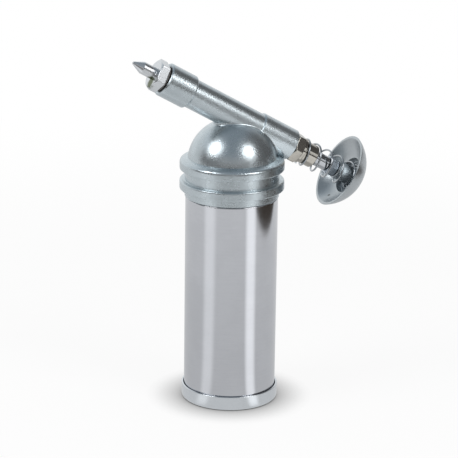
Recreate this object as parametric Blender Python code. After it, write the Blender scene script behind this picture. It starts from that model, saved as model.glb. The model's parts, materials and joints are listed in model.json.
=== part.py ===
"""Push-type grease applicator: steel reservoir tube, die-cast pump head with a tilted barrel, and palm knob.

Lengths are in metres and +Z is up. The origin is the centre of the base cap's underside. The barrel lies in
the XZ plane, crosses the tube's axis above the dome and falls towards +X, where the palm knob is.
A place along the barrel is a station: its distance from that crossing, negative towards the nozzle.
"""
from math import acos, asin, cos, degrees, pi, radians, sin, sqrt, tan

import bmesh
import bpy
from mathutils import Matrix, Vector

# Fits
SEAT_GAP = 0.0003            # between pieces that rest on, or are fixed in, each other
RUNNING_GAP = 0.00012        # radial gap round the sliding plunger
DRILL_RELIEF = 0.0005        # depth of a blind hole past the end of what is screwed into it

# Reservoir tube, with a reduced neck that carries the rolled thread
TUBE_RADIUS = 0.0225
TUBE_WALL = 0.0010
SHOULDER_HEIGHT = 0.1030     # underside of the cap to the shoulder below the neck
SHOULDER_ROUNDING = 0.0006
NECK_STEP = 0.0013
NECK_HEIGHT = 0.0140
NECK_CHAMFER = 0.0003

# Base cap, pressed over the foot of the tube
CAP_WALL = 0.00085
CAP_HEIGHT = 0.0070
CAP_FLOOR = 0.0012
CAP_ROUNDING = 0.0015
VENT_RADIUS = 0.0008
VENT_OFFSET = 0.0120         # from the cap's centre

# Follower: a rubber cup held between two plates by a rivet
CUP_HEIGHT = 0.0070
CUP_FLOOR = 0.0020
CUP_LIP = 0.0013
BACK_PLATE_RADIUS = 0.0170
TOP_PLATE_RADIUS = 0.0110
PLATE_THICKNESS = 0.0010
RIVET_RADIUS = 0.0020
RIVET_HEAD_RADIUS = 0.0040
RIVET_HEAD_HEIGHT = 0.0012

# Pump head: skirt with two grip beads, and dome
LIP_OVERHANG = 0.0004        # skirt outside the tube
LIP_HEIGHT = 0.0037          # foot of the skirt to the lower bead
BEAD_WIDTH = 0.0043
BEAD_REACH = 0.0025          # bead outside the skirt
BEAD_ROUNDING = 0.0009       # upper edge of the lower bead
UPPER_BEAD_ROUNDING = 0.0014
GASKET_THICKNESS = 0.0015
GASKET_WIDTH = 0.0026
ROOF_WALL = 0.0020           # socket's shoulder to the top of the upper bead
LEDGE_RISE = 0.0013          # slope of the ledge between the upper bead and the dome
DOME_RADIUS = 0.02175
DOME_CENTRE = 0.0003         # dome's centre above the socket's shoulder
CAVITY_ROOF_DROP = 0.0135    # crossing of the axes down to the roof of the grease cavity

# Pump barrel, cast with the head
BARREL_TILT = 30.0           # degrees below the horizontal, towards the knob
CROSSING_HEIGHT = 0.0237     # above the dome's centre
BOSS_RADIUS = 0.00834
BOSS_FACE = -0.0402          # station
BOSS_LENGTH = 0.0149
FORE_RADIUS = 0.0072
REAR_RADIUS = 0.00784
REAR_STEP = 0.0146           # station
NUT_CLEARANCE = 0.0008       # gland nut's lowest corner outside the upper bead
STEP_CHAMFER = 0.0006

# Plunger and pump bore
ROD_RADIUS = 0.0036
PISTON_STEP = 0.0006         # piston outside the rod, which stops it on the gland washer
PISTON_LENGTH = 0.0119
PLUNGER_STROKE = 0.0080
STROKE_RELIEF = 0.0004       # left between lock nut and spigot at full stroke
BORE_RELIEF = 0.0020         # bore ahead of the piston at full stroke
PORT_RADIUS = 0.0012         # feed port from the cavity up into the bore
PORT_LEAD = 0.00025          # from the port's edge to the piston at rest
O_RING_SECTION = 0.0011
O_RING_STATION = 0.0085      # behind the piston's tip

# Gland at the rear of the barrel
GLAND_WASHER_THICKNESS = 0.0010
PACKING_THICKNESS = 0.0030
PACKING_SECTION = 0.0014
NUT_FLATS = 0.0130
NUT_LENGTH = 0.0047          # hexagon alone
NUT_TURN = 4.5               # degrees, one flat of the hexagon as tightened
COLLAR_LENGTH = 0.0015       # round seat of the return spring, behind the hexagon
COLLAR_INSET = 0.0001        # collar inside the flats
SPIGOT_LENGTH = 0.0072

# Outlet valve in the fore barrel
ORIFICE_RADIUS = 0.0015
ORIFICE_LENGTH = 0.0025
VALVE_SEAT_ANGLE = 45.0      # degrees, cone's wall to the barrel's axis
BALL_RADIUS = 0.0028
BALL_CLEARANCE = 0.0006
VALVE_WIRE = 0.0004
VALVE_SPRING_RADIUS = 0.0021
VALVE_SPRING_TURNS = 9.0
DEAD_TURN = 0.65             # closed turn at each end of a spring
EASED_TURN = 0.25            # part of a turn over which the pitch opens

# Nozzle
NOZZLE_FLATS = 0.0140
NOZZLE_HEX_LENGTH = 0.0045
NOZZLE_TURN = 12.5           # degrees, one flat of the hexagon as tightened
NOZZLE_SHANK_RADIUS = 0.0047
NOZZLE_SHANK_LENGTH = 0.0085
NOZZLE_GASKET_THICKNESS = 0.0007
NOZZLE_GASKET_WIDTH = 0.0016
PIN_RADIUS = 0.0030
PIN_LENGTH = 0.0065
CONE_LENGTH = 0.0052
TIP_RADIUS = 0.00065
OUTLET_RADIUS = 0.00035
FEED_RADIUS = 0.00125

# Return spring, lock nut and palm knob
RETURN_WIRE = 0.0009
RETURN_SPRING_BORE = 0.00595  # inside radius of the coils
RETURN_SPRING_TURNS = 5.7
RETURN_SPRING_START = -2.5   # degrees round the barrel, where the wire begins at the nut
LOCK_NUT_FLATS = 0.0084
LOCK_NUT_LENGTH = 0.0050
LOCK_NUT_TURN = 0.0          # degrees, one flat of the hexagon as tightened
KNOB_THREAD_RADIUS = 0.0025
HUB_RADIUS = 0.0046
HUB_REACH = 0.0023           # hub of the knob out of the rim's plane
KNOB_RADIUS = 0.01905
KNOB_DEPTH = 0.0118
KNOB_RIM_WIDTH = 0.0013
KNOB_WALL = 0.0011
KNOB_TIP_WALL = 0.0030
DISH_DEPTH = 0.0055          # rim's plane to the edge of the well
DISH_SAG = 0.0009            # bow of the dish below a straight cone
WELL_CLEARANCE = 0.0023      # round the return spring

# Chamfered hexagons, as turned from bar
HEX_CHAMFER_INSET = 0.0003   # chamfer's inner circle inside the flats
HEX_CHAMFER_ANGLE = 30.0     # degrees, to the end face

# Fineness of the round shapes
TUBE_SIDES = 36
BARREL_SIDES = 30
INNER_SIDES = 24
SMALL_SIDES = 18
ROUNDING_STEPS = 2
ROUNDING_SHARE = 0.48        # most of an edge that one rounding may take
DOME_STEPS = 8
O_RING_STEPS = 8
RETURN_COIL_STEPS = 14       # points in each turn
VALVE_COIL_STEPS = 10
RETURN_WIRE_ROUNDNESS = 1    # bevel resolution of the wire
VALVE_WIRE_ROUNDNESS = 0
CUT_MARGIN = 0.002           # how far a cutter stands out of what it cuts
SMOOTH_ANGLE = 32.0          # degrees, sharper edges stay crisp

# Heights that follow from the driving sizes
TILT = radians(BARREL_TILT)
TUBE_FOOT = CAP_FLOOR + SEAT_GAP
TUBE_BORE = TUBE_RADIUS - TUBE_WALL
NECK_RADIUS = TUBE_RADIUS - NECK_STEP
NECK_BORE = NECK_RADIUS - TUBE_WALL
NECK_TOP = SHOULDER_HEIGHT + NECK_HEIGHT
SOCKET_RADIUS = NECK_RADIUS + SEAT_GAP
GASKET_FOOT = NECK_TOP + SEAT_GAP
GASKET_TOP = GASKET_FOOT + GASKET_THICKNESS
SOCKET_TOP = GASKET_TOP + SEAT_GAP
SKIRT_FOOT = SHOULDER_HEIGHT + SEAT_GAP
SKIRT_RADIUS = TUBE_RADIUS + LIP_OVERHANG
BEAD_RADIUS = SKIRT_RADIUS + BEAD_REACH
UPPER_BEAD_TOP = SOCKET_TOP + ROOF_WALL
LEDGE_TOP = UPPER_BEAD_TOP + LEDGE_RISE
DOME_Z = SOCKET_TOP + DOME_CENTRE
CROSSING_Z = DOME_Z + CROSSING_HEIGHT
CAVITY_ROOF = CROSSING_Z - CAVITY_ROOF_DROP
CAVITY_RADIUS = SOCKET_RADIUS - GASKET_WIDTH - SEAT_GAP

# Radii and stations along the barrel that follow from the driving sizes
PISTON_RADIUS = ROD_RADIUS + PISTON_STEP
BORE_RADIUS = PISTON_RADIUS + RUNNING_GAP
PACKING_BORE = ROD_RADIUS + RUNNING_GAP
PACKING_RADIUS = PACKING_BORE + PACKING_SECTION
CHAMBER_RADIUS = PACKING_RADIUS + SEAT_GAP
PORT_EDGE = (PORT_RADIUS + BORE_RADIUS * sin(TILT)) / cos(TILT)
PISTON_TIP = PORT_EDGE + PORT_LEAD
PISTON_REAR = PISTON_TIP + PISTON_LENGTH
BORE_END = PISTON_TIP - PLUNGER_STROKE - BORE_RELIEF
CHAMBER_STEP = PISTON_REAR
WASHER_FRONT = CHAMBER_STEP + SEAT_GAP
WASHER_REAR = WASHER_FRONT + GLAND_WASHER_THICKNESS
PACKING_FRONT = WASHER_REAR + SEAT_GAP
PACKING_REAR = PACKING_FRONT + PACKING_THICKNESS
SHANK_FRONT = PACKING_REAR + SEAT_GAP
NUT_FRONT = (BEAD_RADIUS + NUT_CLEARANCE + NUT_FLATS / sqrt(3) * sin(TILT)) / cos(TILT)
REAR_END = NUT_FRONT - SEAT_GAP
NUT_REAR = NUT_FRONT + NUT_LENGTH
COLLAR_REAR = NUT_REAR + COLLAR_LENGTH
SPIGOT_END = COLLAR_REAR + SPIGOT_LENGTH
GUIDE_RADIUS = RETURN_SPRING_BORE - SEAT_GAP
ROD_SHOULDER = SPIGOT_END + PLUNGER_STROKE + STROKE_RELIEF - SEAT_GAP
LOCK_NUT_FRONT = ROD_SHOULDER + SEAT_GAP
LOCK_NUT_REAR = LOCK_NUT_FRONT + LOCK_NUT_LENGTH
HUB_FRONT = LOCK_NUT_REAR + SEAT_GAP
KNOB_RIM = HUB_FRONT + HUB_REACH
KNOB_APEX = KNOB_RIM + KNOB_DEPTH
KNOB_HOLE_END = KNOB_APEX - KNOB_TIP_WALL
KNOB_THREAD_END = KNOB_HOLE_END - DRILL_RELIEF
KNOB_SPHERE = (KNOB_RADIUS ** 2 + KNOB_DEPTH ** 2) / (2 * KNOB_DEPTH)
RETURN_SPRING_RADIUS = RETURN_SPRING_BORE + RETURN_WIRE / 2
WELL_RADIUS = RETURN_SPRING_BORE + RETURN_WIRE + WELL_CLEARANCE

ORIFICE_END = BORE_END - ORIFICE_LENGTH
VALVE_CHAMBER_RADIUS = BALL_RADIUS + BALL_CLEARANCE
SEAT_CONE_LENGTH = (VALVE_CHAMBER_RADIUS - ORIFICE_RADIUS) / tan(radians(VALVE_SEAT_ANGLE))
SEAT_CONE_APEX = ORIFICE_END + ORIFICE_RADIUS / tan(radians(VALVE_SEAT_ANGLE))
BALL_STATION = SEAT_CONE_APEX - (BALL_RADIUS + SEAT_GAP) / sin(radians(VALVE_SEAT_ANGLE))
NOZZLE_HEX_REAR = BOSS_FACE - NOZZLE_GASKET_THICKNESS - 2 * SEAT_GAP
NOZZLE_HEX_FRONT = NOZZLE_HEX_REAR - NOZZLE_HEX_LENGTH
NOZZLE_SHANK_END = NOZZLE_HEX_REAR + NOZZLE_SHANK_LENGTH
NOZZLE_HOLE_RADIUS = NOZZLE_SHANK_RADIUS + SEAT_GAP
NOZZLE_HOLE_END = NOZZLE_SHANK_END + DRILL_RELIEF
CONE_FRONT = NOZZLE_HEX_FRONT - PIN_LENGTH - CONE_LENGTH


def new_material(name, colour, roughness, metallic):
    """Principled material with one colour, roughness and metallic value."""
    material = bpy.data.materials.new(name)
    material.use_nodes = True
    shader = material.node_tree.nodes["Principled BSDF"]
    shader.inputs["Base Color"].default_value = (*colour, 1.0)
    shader.inputs["Roughness"].default_value = roughness
    shader.inputs["Metallic"].default_value = metallic
    return material


def add_object(name, mesh, material, parent=None):
    """Link a mesh as a named object, shaded smooth but for its sharp edges."""
    mesh.shade_smooth()
    mesh.set_sharp_from_angle(angle=radians(SMOOTH_ANGLE))
    item = bpy.data.objects.new(name, mesh)
    bpy.context.collection.objects.link(item)
    item.parent = parent
    if material is not None:
        mesh.materials.append(material)
    return item


def arc(centre, radius, start, end, steps):
    """Points on an arc of a profile, from one angle to another in degrees."""
    angles = [radians(start + (end - start) * k / steps) for k in range(steps + 1)]
    return [(centre[0] + radius * cos(a), centre[1] + radius * sin(a)) for a in angles]


def softened(corners):
    """Profile from corners (radius, height) or (radius, height, rounding), each rounding made an arc."""
    points = []
    for k, corner in enumerate(corners):
        here = Vector(corner[:2])
        if len(corner) == 2:
            points.append(tuple(here))
            continue
        before = Vector(corners[k - 1][:2]) - here
        after = Vector(corners[(k + 1) % len(corners)][:2]) - here
        half = before.angle(after) / 2
        room = ROUNDING_SHARE * min(before.length, after.length)
        reach = min(corner[2] / tan(half), room)
        radius = reach * tan(half)
        centre = here + (before.normalized() + after.normalized()).normalized() * radius / sin(half)
        first = here + before.normalized() * reach - centre
        last = here + after.normalized() * reach - centre
        sweep = first.angle_signed(last)
        for step in range(ROUNDING_STEPS + 1):
            turn = Matrix.Rotation(-sweep * step / ROUNDING_STEPS, 2)
            points.append(tuple(centre + turn @ first))
    return points


def turned_mesh(name, profile, sides):
    """Closed solid turned about Z from a profile of (radius, height) points.

    A profile that starts and ends on the axis makes a full solid, and any other makes a ring.
    """
    shape = bmesh.new()
    points = [shape.verts.new((radius, 0.0, height)) for radius, height in profile]
    edges = [shape.edges.new(pair) for pair in zip(points, points[1:])]
    if profile[0][0] > 0:
        edges.append(shape.edges.new((points[-1], points[0])))
    bmesh.ops.spin(shape, geom=points + edges, cent=(0, 0, 0), axis=(0, 0, 1), angle=2 * pi,
                   steps=sides, use_merge=True)
    bmesh.ops.remove_doubles(shape, verts=shape.verts, dist=1e-6)
    bmesh.ops.recalc_face_normals(shape, faces=shape.faces)
    mesh = bpy.data.meshes.new(name)
    shape.to_mesh(mesh)
    shape.free()
    return mesh


def turned(name, profile, sides, material=None, parent=None):
    """Object turned about its own Z axis."""
    return add_object(name, turned_mesh(name, profile, sides), material, parent)


def ring(name, inner, outer, low, high, sides, material=None, parent=None):
    """Plain flat ring about Z."""
    profile = [(outer, high), (outer, low), (inner, low), (inner, high)]
    return turned(name, profile, sides, material, parent)


def rod_profile(steps):
    """Profile of stepped cylinders, from (radius, low, high) sorted upwards and starting on the axis."""
    profile = [(0.0, steps[0][1])]
    for radius, low, high in steps:
        profile += [(radius, low), (radius, high)]
    profile.append((0.0, steps[-1][2]))
    return profile


def as_cutter(item):
    """Mark an object as a tool that shapes another and is no piece itself."""
    item.hide_render = True
    item.display_type = "WIRE"
    return item


def combine(item, tool, operation):
    """Exact Boolean of one object with another."""
    step = item.modifiers.new(tool.name, "BOOLEAN")
    step.operation = operation
    step.solver = "EXACT"
    step.object = as_cutter(tool)


def hexagon_sleeve(name, flats, low, high, turn, parent):
    """Cutter that leaves a hexagon of the stated width across flats between two heights."""
    shape = bmesh.new()
    loops = []
    for reach in (flats / sqrt(3), flats):
        for height in (low, high):
            angles = [radians(turn + 30 + 60 * k) for k in range(6)]
            loops.append([shape.verts.new((reach * cos(a), reach * sin(a), height)) for a in angles])
    inner_low, inner_high, outer_low, outer_high = loops
    for first, second in ((inner_low, inner_high), (inner_high, outer_high),
                          (outer_high, outer_low), (outer_low, inner_low)):
        for k in range(6):
            nearby = (k + 1) % 6
            shape.faces.new((first[k], first[nearby], second[nearby], second[k]))
    bmesh.ops.recalc_face_normals(shape, faces=shape.faces)
    mesh = bpy.data.meshes.new(name)
    shape.to_mesh(mesh)
    shape.free()
    return add_object(name, mesh, None, parent)


def chamfered_bar(flats, low, high, low_inset, high_inset):
    """Outer points of a hexagonal bar's blank, chamfered down to an inset inside the flats at each end.

    An end whose inset is None stays square.
    """
    corner = flats / sqrt(3)
    points = []
    for height, inset, inward in ((low, low_inset, 1), (high, high_inset, -1)):
        if inset is None:
            points.append([(corner, height)])
            continue
        face = flats / 2 - inset
        depth = (corner - face) * tan(radians(HEX_CHAMFER_ANGLE))
        points.append([(face, height), (corner, height + inward * depth)])
    return points[0] + points[1][::-1]


def coil_spring(name, radius, wire, low, high, turns, start, steps, roundness, material, parent):
    """Round-wire spring about Z between two seats.

    The pitch is nothing along the dead turn at each end, full between them, and eased from one to the other.
    """
    curve = bpy.data.curves.new(name, "CURVE")
    curve.dimensions = "3D"
    curve.bevel_depth = wire / 2
    curve.bevel_resolution = roundness
    curve.use_fill_caps = True
    count = round(turns * steps)
    heights = [0.0]
    for k in range(count):
        wound = (k + 0.5) / steps
        from_end = min(wound, turns - wound)
        pitch = min(1.0, max(0.0, (from_end - DEAD_TURN) / EASED_TURN + 0.5))
        heights.append(heights[-1] + pitch)
    scale = (high - low - wire) / heights[-1]
    spline = curve.splines.new("POLY")
    spline.points.add(count)
    for k, point in enumerate(spline.points):
        angle = radians(start) + 2 * pi * k / steps
        point.co = (radius * cos(angle), radius * sin(angle), low + wire / 2 + scale * heights[k], 1.0)
    item = bpy.data.objects.new(name, curve)
    bpy.context.collection.objects.link(item)
    item.parent = parent
    curve.materials.append(material)
    return item


def build_reservoir(materials):
    """Steel tube with its necked mouth, standing in the pressed base cap."""
    tube = softened([
        (TUBE_RADIUS, SHOULDER_HEIGHT, SHOULDER_ROUNDING),
        (TUBE_RADIUS, TUBE_FOOT),
        (TUBE_BORE, TUBE_FOOT),
        (TUBE_BORE, SHOULDER_HEIGHT - TUBE_WALL),
        (NECK_BORE, SHOULDER_HEIGHT - TUBE_WALL + NECK_STEP / 2),
        (NECK_BORE, NECK_TOP),
        (NECK_RADIUS - NECK_CHAMFER, NECK_TOP),
        (NECK_RADIUS, NECK_TOP - NECK_CHAMFER),
        (NECK_RADIUS, SHOULDER_HEIGHT),
    ])
    turned("reservoir_tube", tube, TUBE_SIDES, materials["tube"])

    inner = TUBE_RADIUS + SEAT_GAP
    outer = inner + CAP_WALL
    cap = turned("base_cap", softened([
        (0.0, CAP_FLOOR),
        (inner, CAP_FLOOR),
        (inner, CAP_HEIGHT),
        (outer, CAP_HEIGHT, CAP_WALL / 2),
        (outer, 0.0, CAP_ROUNDING),
        (0.0, 0.0),
    ]), TUBE_SIDES, materials["cap"])
    hole = rod_profile([(VENT_RADIUS, -CUT_MARGIN, CAP_FLOOR + CUT_MARGIN)])
    vent = turned("vent_cutter", hole, SMALL_SIDES)
    vent.location.y = VENT_OFFSET
    combine(cap, vent, "DIFFERENCE")


def build_follower(materials):
    """Rubber cup between its plates, with the rivet through all three, resting low in the tube."""
    head_low = TUBE_FOOT
    back_low = head_low + RIVET_HEAD_HEIGHT + SEAT_GAP
    cup_low = back_low + PLATE_THICKNESS + SEAT_GAP
    top_low = cup_low + CUP_FLOOR + SEAT_GAP
    head_high = top_low + PLATE_THICKNESS + SEAT_GAP
    hole = RIVET_RADIUS + SEAT_GAP
    lip = TUBE_BORE - SEAT_GAP
    ring("follower_back_plate", hole, BACK_PLATE_RADIUS, back_low, back_low + PLATE_THICKNESS, INNER_SIDES,
         materials["plate"])
    ring("follower_top_plate", hole, TOP_PLATE_RADIUS, top_low, top_low + PLATE_THICKNESS, INNER_SIDES,
         materials["plate"])
    turned("follower_cup", [
        (hole, cup_low + CUP_FLOOR),
        (hole, cup_low),
        (lip - CUP_LIP / 2, cup_low),
        (lip, cup_low + CUP_HEIGHT),
        (lip - CUP_LIP / 2, cup_low + CUP_HEIGHT),
        (lip - 2 * CUP_LIP, cup_low + CUP_FLOOR),
    ], TUBE_SIDES, materials["rubber"])
    rivet = rod_profile([
        (RIVET_HEAD_RADIUS, head_low, head_low + RIVET_HEAD_HEIGHT),
        (RIVET_RADIUS, head_low + RIVET_HEAD_HEIGHT, head_high),
        (RIVET_HEAD_RADIUS, head_high, head_high + RIVET_HEAD_HEIGHT),
    ])
    turned("follower_rivet", rivet, SMALL_SIDES, materials["plate"])


def build_head(materials, axis):
    """Bell and barrel as one casting, with the socket, the grease cavity, the port and the stepped bore."""
    low_bead = SKIRT_FOOT + LIP_HEIGHT
    high_bead = UPPER_BEAD_TOP - BEAD_WIDTH
    ledge_radius = sqrt(DOME_RADIUS ** 2 - (LEDGE_TOP - DOME_Z) ** 2)
    rise = degrees(asin((LEDGE_TOP - DOME_Z) / DOME_RADIUS))
    dome = arc((0.0, DOME_Z), DOME_RADIUS, 90, rise, DOME_STEPS)[1:-1]
    bell = [(0.0, DOME_Z + DOME_RADIUS)] + dome + softened([
        (ledge_radius, LEDGE_TOP),
        (BEAD_RADIUS, UPPER_BEAD_TOP, UPPER_BEAD_ROUNDING),
        (BEAD_RADIUS, high_bead, BEAD_ROUNDING / 2),
        (SKIRT_RADIUS, high_bead),
        (SKIRT_RADIUS, low_bead + BEAD_WIDTH),
        (BEAD_RADIUS, low_bead + BEAD_WIDTH, BEAD_ROUNDING),
        (BEAD_RADIUS, low_bead, BEAD_ROUNDING / 2),
        (SKIRT_RADIUS, low_bead),
        (SKIRT_RADIUS, SKIRT_FOOT),
        (0.0, SKIRT_FOOT),
    ])
    head = turned("pump_head", bell, TUBE_SIDES, materials["casting"])

    chamfer = STEP_CHAMFER
    step = REAR_RADIUS - FORE_RADIUS
    barrel = turned("barrel_blank", softened([
        (0.0, BOSS_FACE),
        (BOSS_RADIUS, BOSS_FACE, chamfer),
        (BOSS_RADIUS, BOSS_FACE + BOSS_LENGTH, chamfer),
        (FORE_RADIUS, BOSS_FACE + BOSS_LENGTH),
        (FORE_RADIUS, REAR_STEP - step),
        (REAR_RADIUS, REAR_STEP),
        (REAR_RADIUS, REAR_END, chamfer / 2),
        (0.0, REAR_END),
    ]), BARREL_SIDES, parent=axis)
    combine(head, barrel, "UNION")

    roof = CAVITY_ROOF - SOCKET_TOP
    quarter = [radians(90 * k / DOME_STEPS) for k in range(1, DOME_STEPS + 1)]
    cavity = [(0.0, CAVITY_ROOF)]
    cavity += [(CAVITY_RADIUS * sin(a), SOCKET_TOP + roof * cos(a)) for a in quarter]
    cavity += [
        (SOCKET_RADIUS, SOCKET_TOP),
        (SOCKET_RADIUS, SKIRT_FOOT - CUT_MARGIN),
        (0.0, SKIRT_FOOT - CUT_MARGIN),
    ]
    combine(head, turned("cavity_cutter", cavity, TUBE_SIDES), "DIFFERENCE")

    bore = turned("bore_cutter", [
        (0.0, BOSS_FACE - CUT_MARGIN),
        (NOZZLE_HOLE_RADIUS, BOSS_FACE - CUT_MARGIN),
        (NOZZLE_HOLE_RADIUS, NOZZLE_HOLE_END),
        (VALVE_CHAMBER_RADIUS, NOZZLE_HOLE_END),
        (VALVE_CHAMBER_RADIUS, ORIFICE_END - SEAT_CONE_LENGTH),
        (ORIFICE_RADIUS, ORIFICE_END),
        (ORIFICE_RADIUS, BORE_END),
        (BORE_RADIUS, BORE_END),
        (BORE_RADIUS, CHAMBER_STEP),
        (CHAMBER_RADIUS, CHAMBER_STEP),
        (CHAMBER_RADIUS, REAR_END + CUT_MARGIN),
        (0.0, REAR_END + CUT_MARGIN),
    ], INNER_SIDES, parent=axis)
    combine(head, bore, "DIFFERENCE")

    port = rod_profile([(PORT_RADIUS, CAVITY_ROOF - CUT_MARGIN, CROSSING_Z - BORE_RADIUS / 2)])
    combine(head, turned("port_cutter", port, SMALL_SIDES), "DIFFERENCE")

    ring("head_gasket", SOCKET_RADIUS - GASKET_WIDTH, NECK_RADIUS, GASKET_FOOT, GASKET_TOP, TUBE_SIDES,
         materials["rubber"])


def build_nozzle(materials, axis):
    """Pointed nozzle turned from hexagonal bar, with its sealing ring."""
    hexagon = chamfered_bar(NOZZLE_FLATS, NOZZLE_HEX_FRONT, NOZZLE_HEX_REAR, HEX_CHAMFER_INSET, None)
    nozzle = turned("nozzle", [
        (OUTLET_RADIUS, CONE_FRONT),
        (TIP_RADIUS, CONE_FRONT),
        (PIN_RADIUS, CONE_FRONT + CONE_LENGTH),
        (PIN_RADIUS, NOZZLE_HEX_FRONT),
        *hexagon,
        (NOZZLE_SHANK_RADIUS, NOZZLE_HEX_REAR),
        (NOZZLE_SHANK_RADIUS, NOZZLE_SHANK_END),
        (FEED_RADIUS, NOZZLE_SHANK_END),
        (FEED_RADIUS, NOZZLE_HEX_FRONT),
        (OUTLET_RADIUS, NOZZLE_HEX_FRONT - FEED_RADIUS),
    ], BARREL_SIDES, materials["turned_steel"], axis)
    sleeve = hexagon_sleeve("nozzle_flats_cutter", NOZZLE_FLATS, NOZZLE_HEX_FRONT - SEAT_GAP,
                            NOZZLE_HEX_REAR + SEAT_GAP, NOZZLE_TURN, axis)
    combine(nozzle, sleeve, "DIFFERENCE")
    ring("nozzle_gasket", NOZZLE_HOLE_RADIUS, NOZZLE_HOLE_RADIUS + NOZZLE_GASKET_WIDTH,
         NOZZLE_HEX_REAR + SEAT_GAP, BOSS_FACE - SEAT_GAP, INNER_SIDES, materials["rubber"], axis)


def build_valve(materials, axis):
    """Outlet ball on its conical seat, held there by a spring that the nozzle's shank backs."""
    shape = bmesh.new()
    bmesh.ops.create_icosphere(shape, subdivisions=3, radius=BALL_RADIUS)
    mesh = bpy.data.meshes.new("valve_ball")
    shape.to_mesh(mesh)
    shape.free()
    ball = add_object("valve_ball", mesh, materials["bright_steel"], axis)
    ball.location.z = BALL_STATION
    reach = sqrt((BALL_RADIUS + SEAT_GAP + VALVE_WIRE / 2) ** 2 - VALVE_SPRING_RADIUS ** 2)
    coil_spring("valve_spring", VALVE_SPRING_RADIUS, VALVE_WIRE, NOZZLE_SHANK_END + SEAT_GAP,
                BALL_STATION - reach + VALVE_WIRE / 2, VALVE_SPRING_TURNS, 0.0, VALVE_COIL_STEPS,
                VALVE_WIRE_ROUNDNESS, materials["bright_steel"], axis)


def build_gland(materials, axis):
    """Washer and packing clamped in the barrel by the gland nut, whose spigot guides rod and spring."""
    ring("gland_washer", PACKING_BORE, PACKING_RADIUS, WASHER_FRONT, WASHER_REAR, INNER_SIDES,
         materials["turned_steel"], axis)
    ring("gland_packing", PACKING_BORE, PACKING_RADIUS, PACKING_FRONT, PACKING_REAR, INNER_SIDES,
         materials["rubber"], axis)
    hexagon = chamfered_bar(NUT_FLATS, NUT_FRONT, NUT_REAR, HEX_CHAMFER_INSET, COLLAR_INSET)
    nut = turned("gland_nut", softened([
        (PACKING_BORE, SHANK_FRONT),
        (PACKING_RADIUS, SHANK_FRONT),
        (PACKING_RADIUS, NUT_FRONT),
        *hexagon,
        (NUT_FLATS / 2 - COLLAR_INSET, COLLAR_REAR, SEAT_GAP),
        (GUIDE_RADIUS, COLLAR_REAR),
        (GUIDE_RADIUS, SPIGOT_END, SEAT_GAP),
        (PACKING_BORE, SPIGOT_END),
    ]), BARREL_SIDES, materials["bright_steel"], axis)
    sleeve = hexagon_sleeve("gland_nut_flats_cutter", NUT_FLATS, NUT_FRONT - SEAT_GAP / 2,
                            NUT_REAR + SEAT_GAP, NUT_TURN, axis)
    combine(nut, sleeve, "DIFFERENCE")


def build_plunger(materials, axis):
    """One turned plunger: grooved piston, rod and threaded end, with its O-ring."""
    ring_station = PISTON_TIP + O_RING_STATION
    half_groove = O_RING_SECTION / 2 + SEAT_GAP
    o_ring_radius = PISTON_RADIUS - O_RING_SECTION / 2
    groove_radius = PISTON_RADIUS - O_RING_SECTION - SEAT_GAP
    turned("plunger", [
        (0.0, PISTON_TIP),
        (PISTON_RADIUS, PISTON_TIP),
        (PISTON_RADIUS, ring_station - half_groove),
        (groove_radius, ring_station - half_groove),
        (groove_radius, ring_station + half_groove),
        (PISTON_RADIUS, ring_station + half_groove),
        (PISTON_RADIUS, PISTON_REAR),
        (ROD_RADIUS, PISTON_REAR),
        (ROD_RADIUS, ROD_SHOULDER),
        (KNOB_THREAD_RADIUS, ROD_SHOULDER),
        (KNOB_THREAD_RADIUS, KNOB_THREAD_END),
        (0.0, KNOB_THREAD_END),
    ], INNER_SIDES, materials["bright_steel"], axis)
    section = arc((o_ring_radius, ring_station), O_RING_SECTION / 2, 0, -360, O_RING_STEPS)[:-1]
    turned("plunger_seal", section, INNER_SIDES, materials["rubber"], axis)


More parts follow.
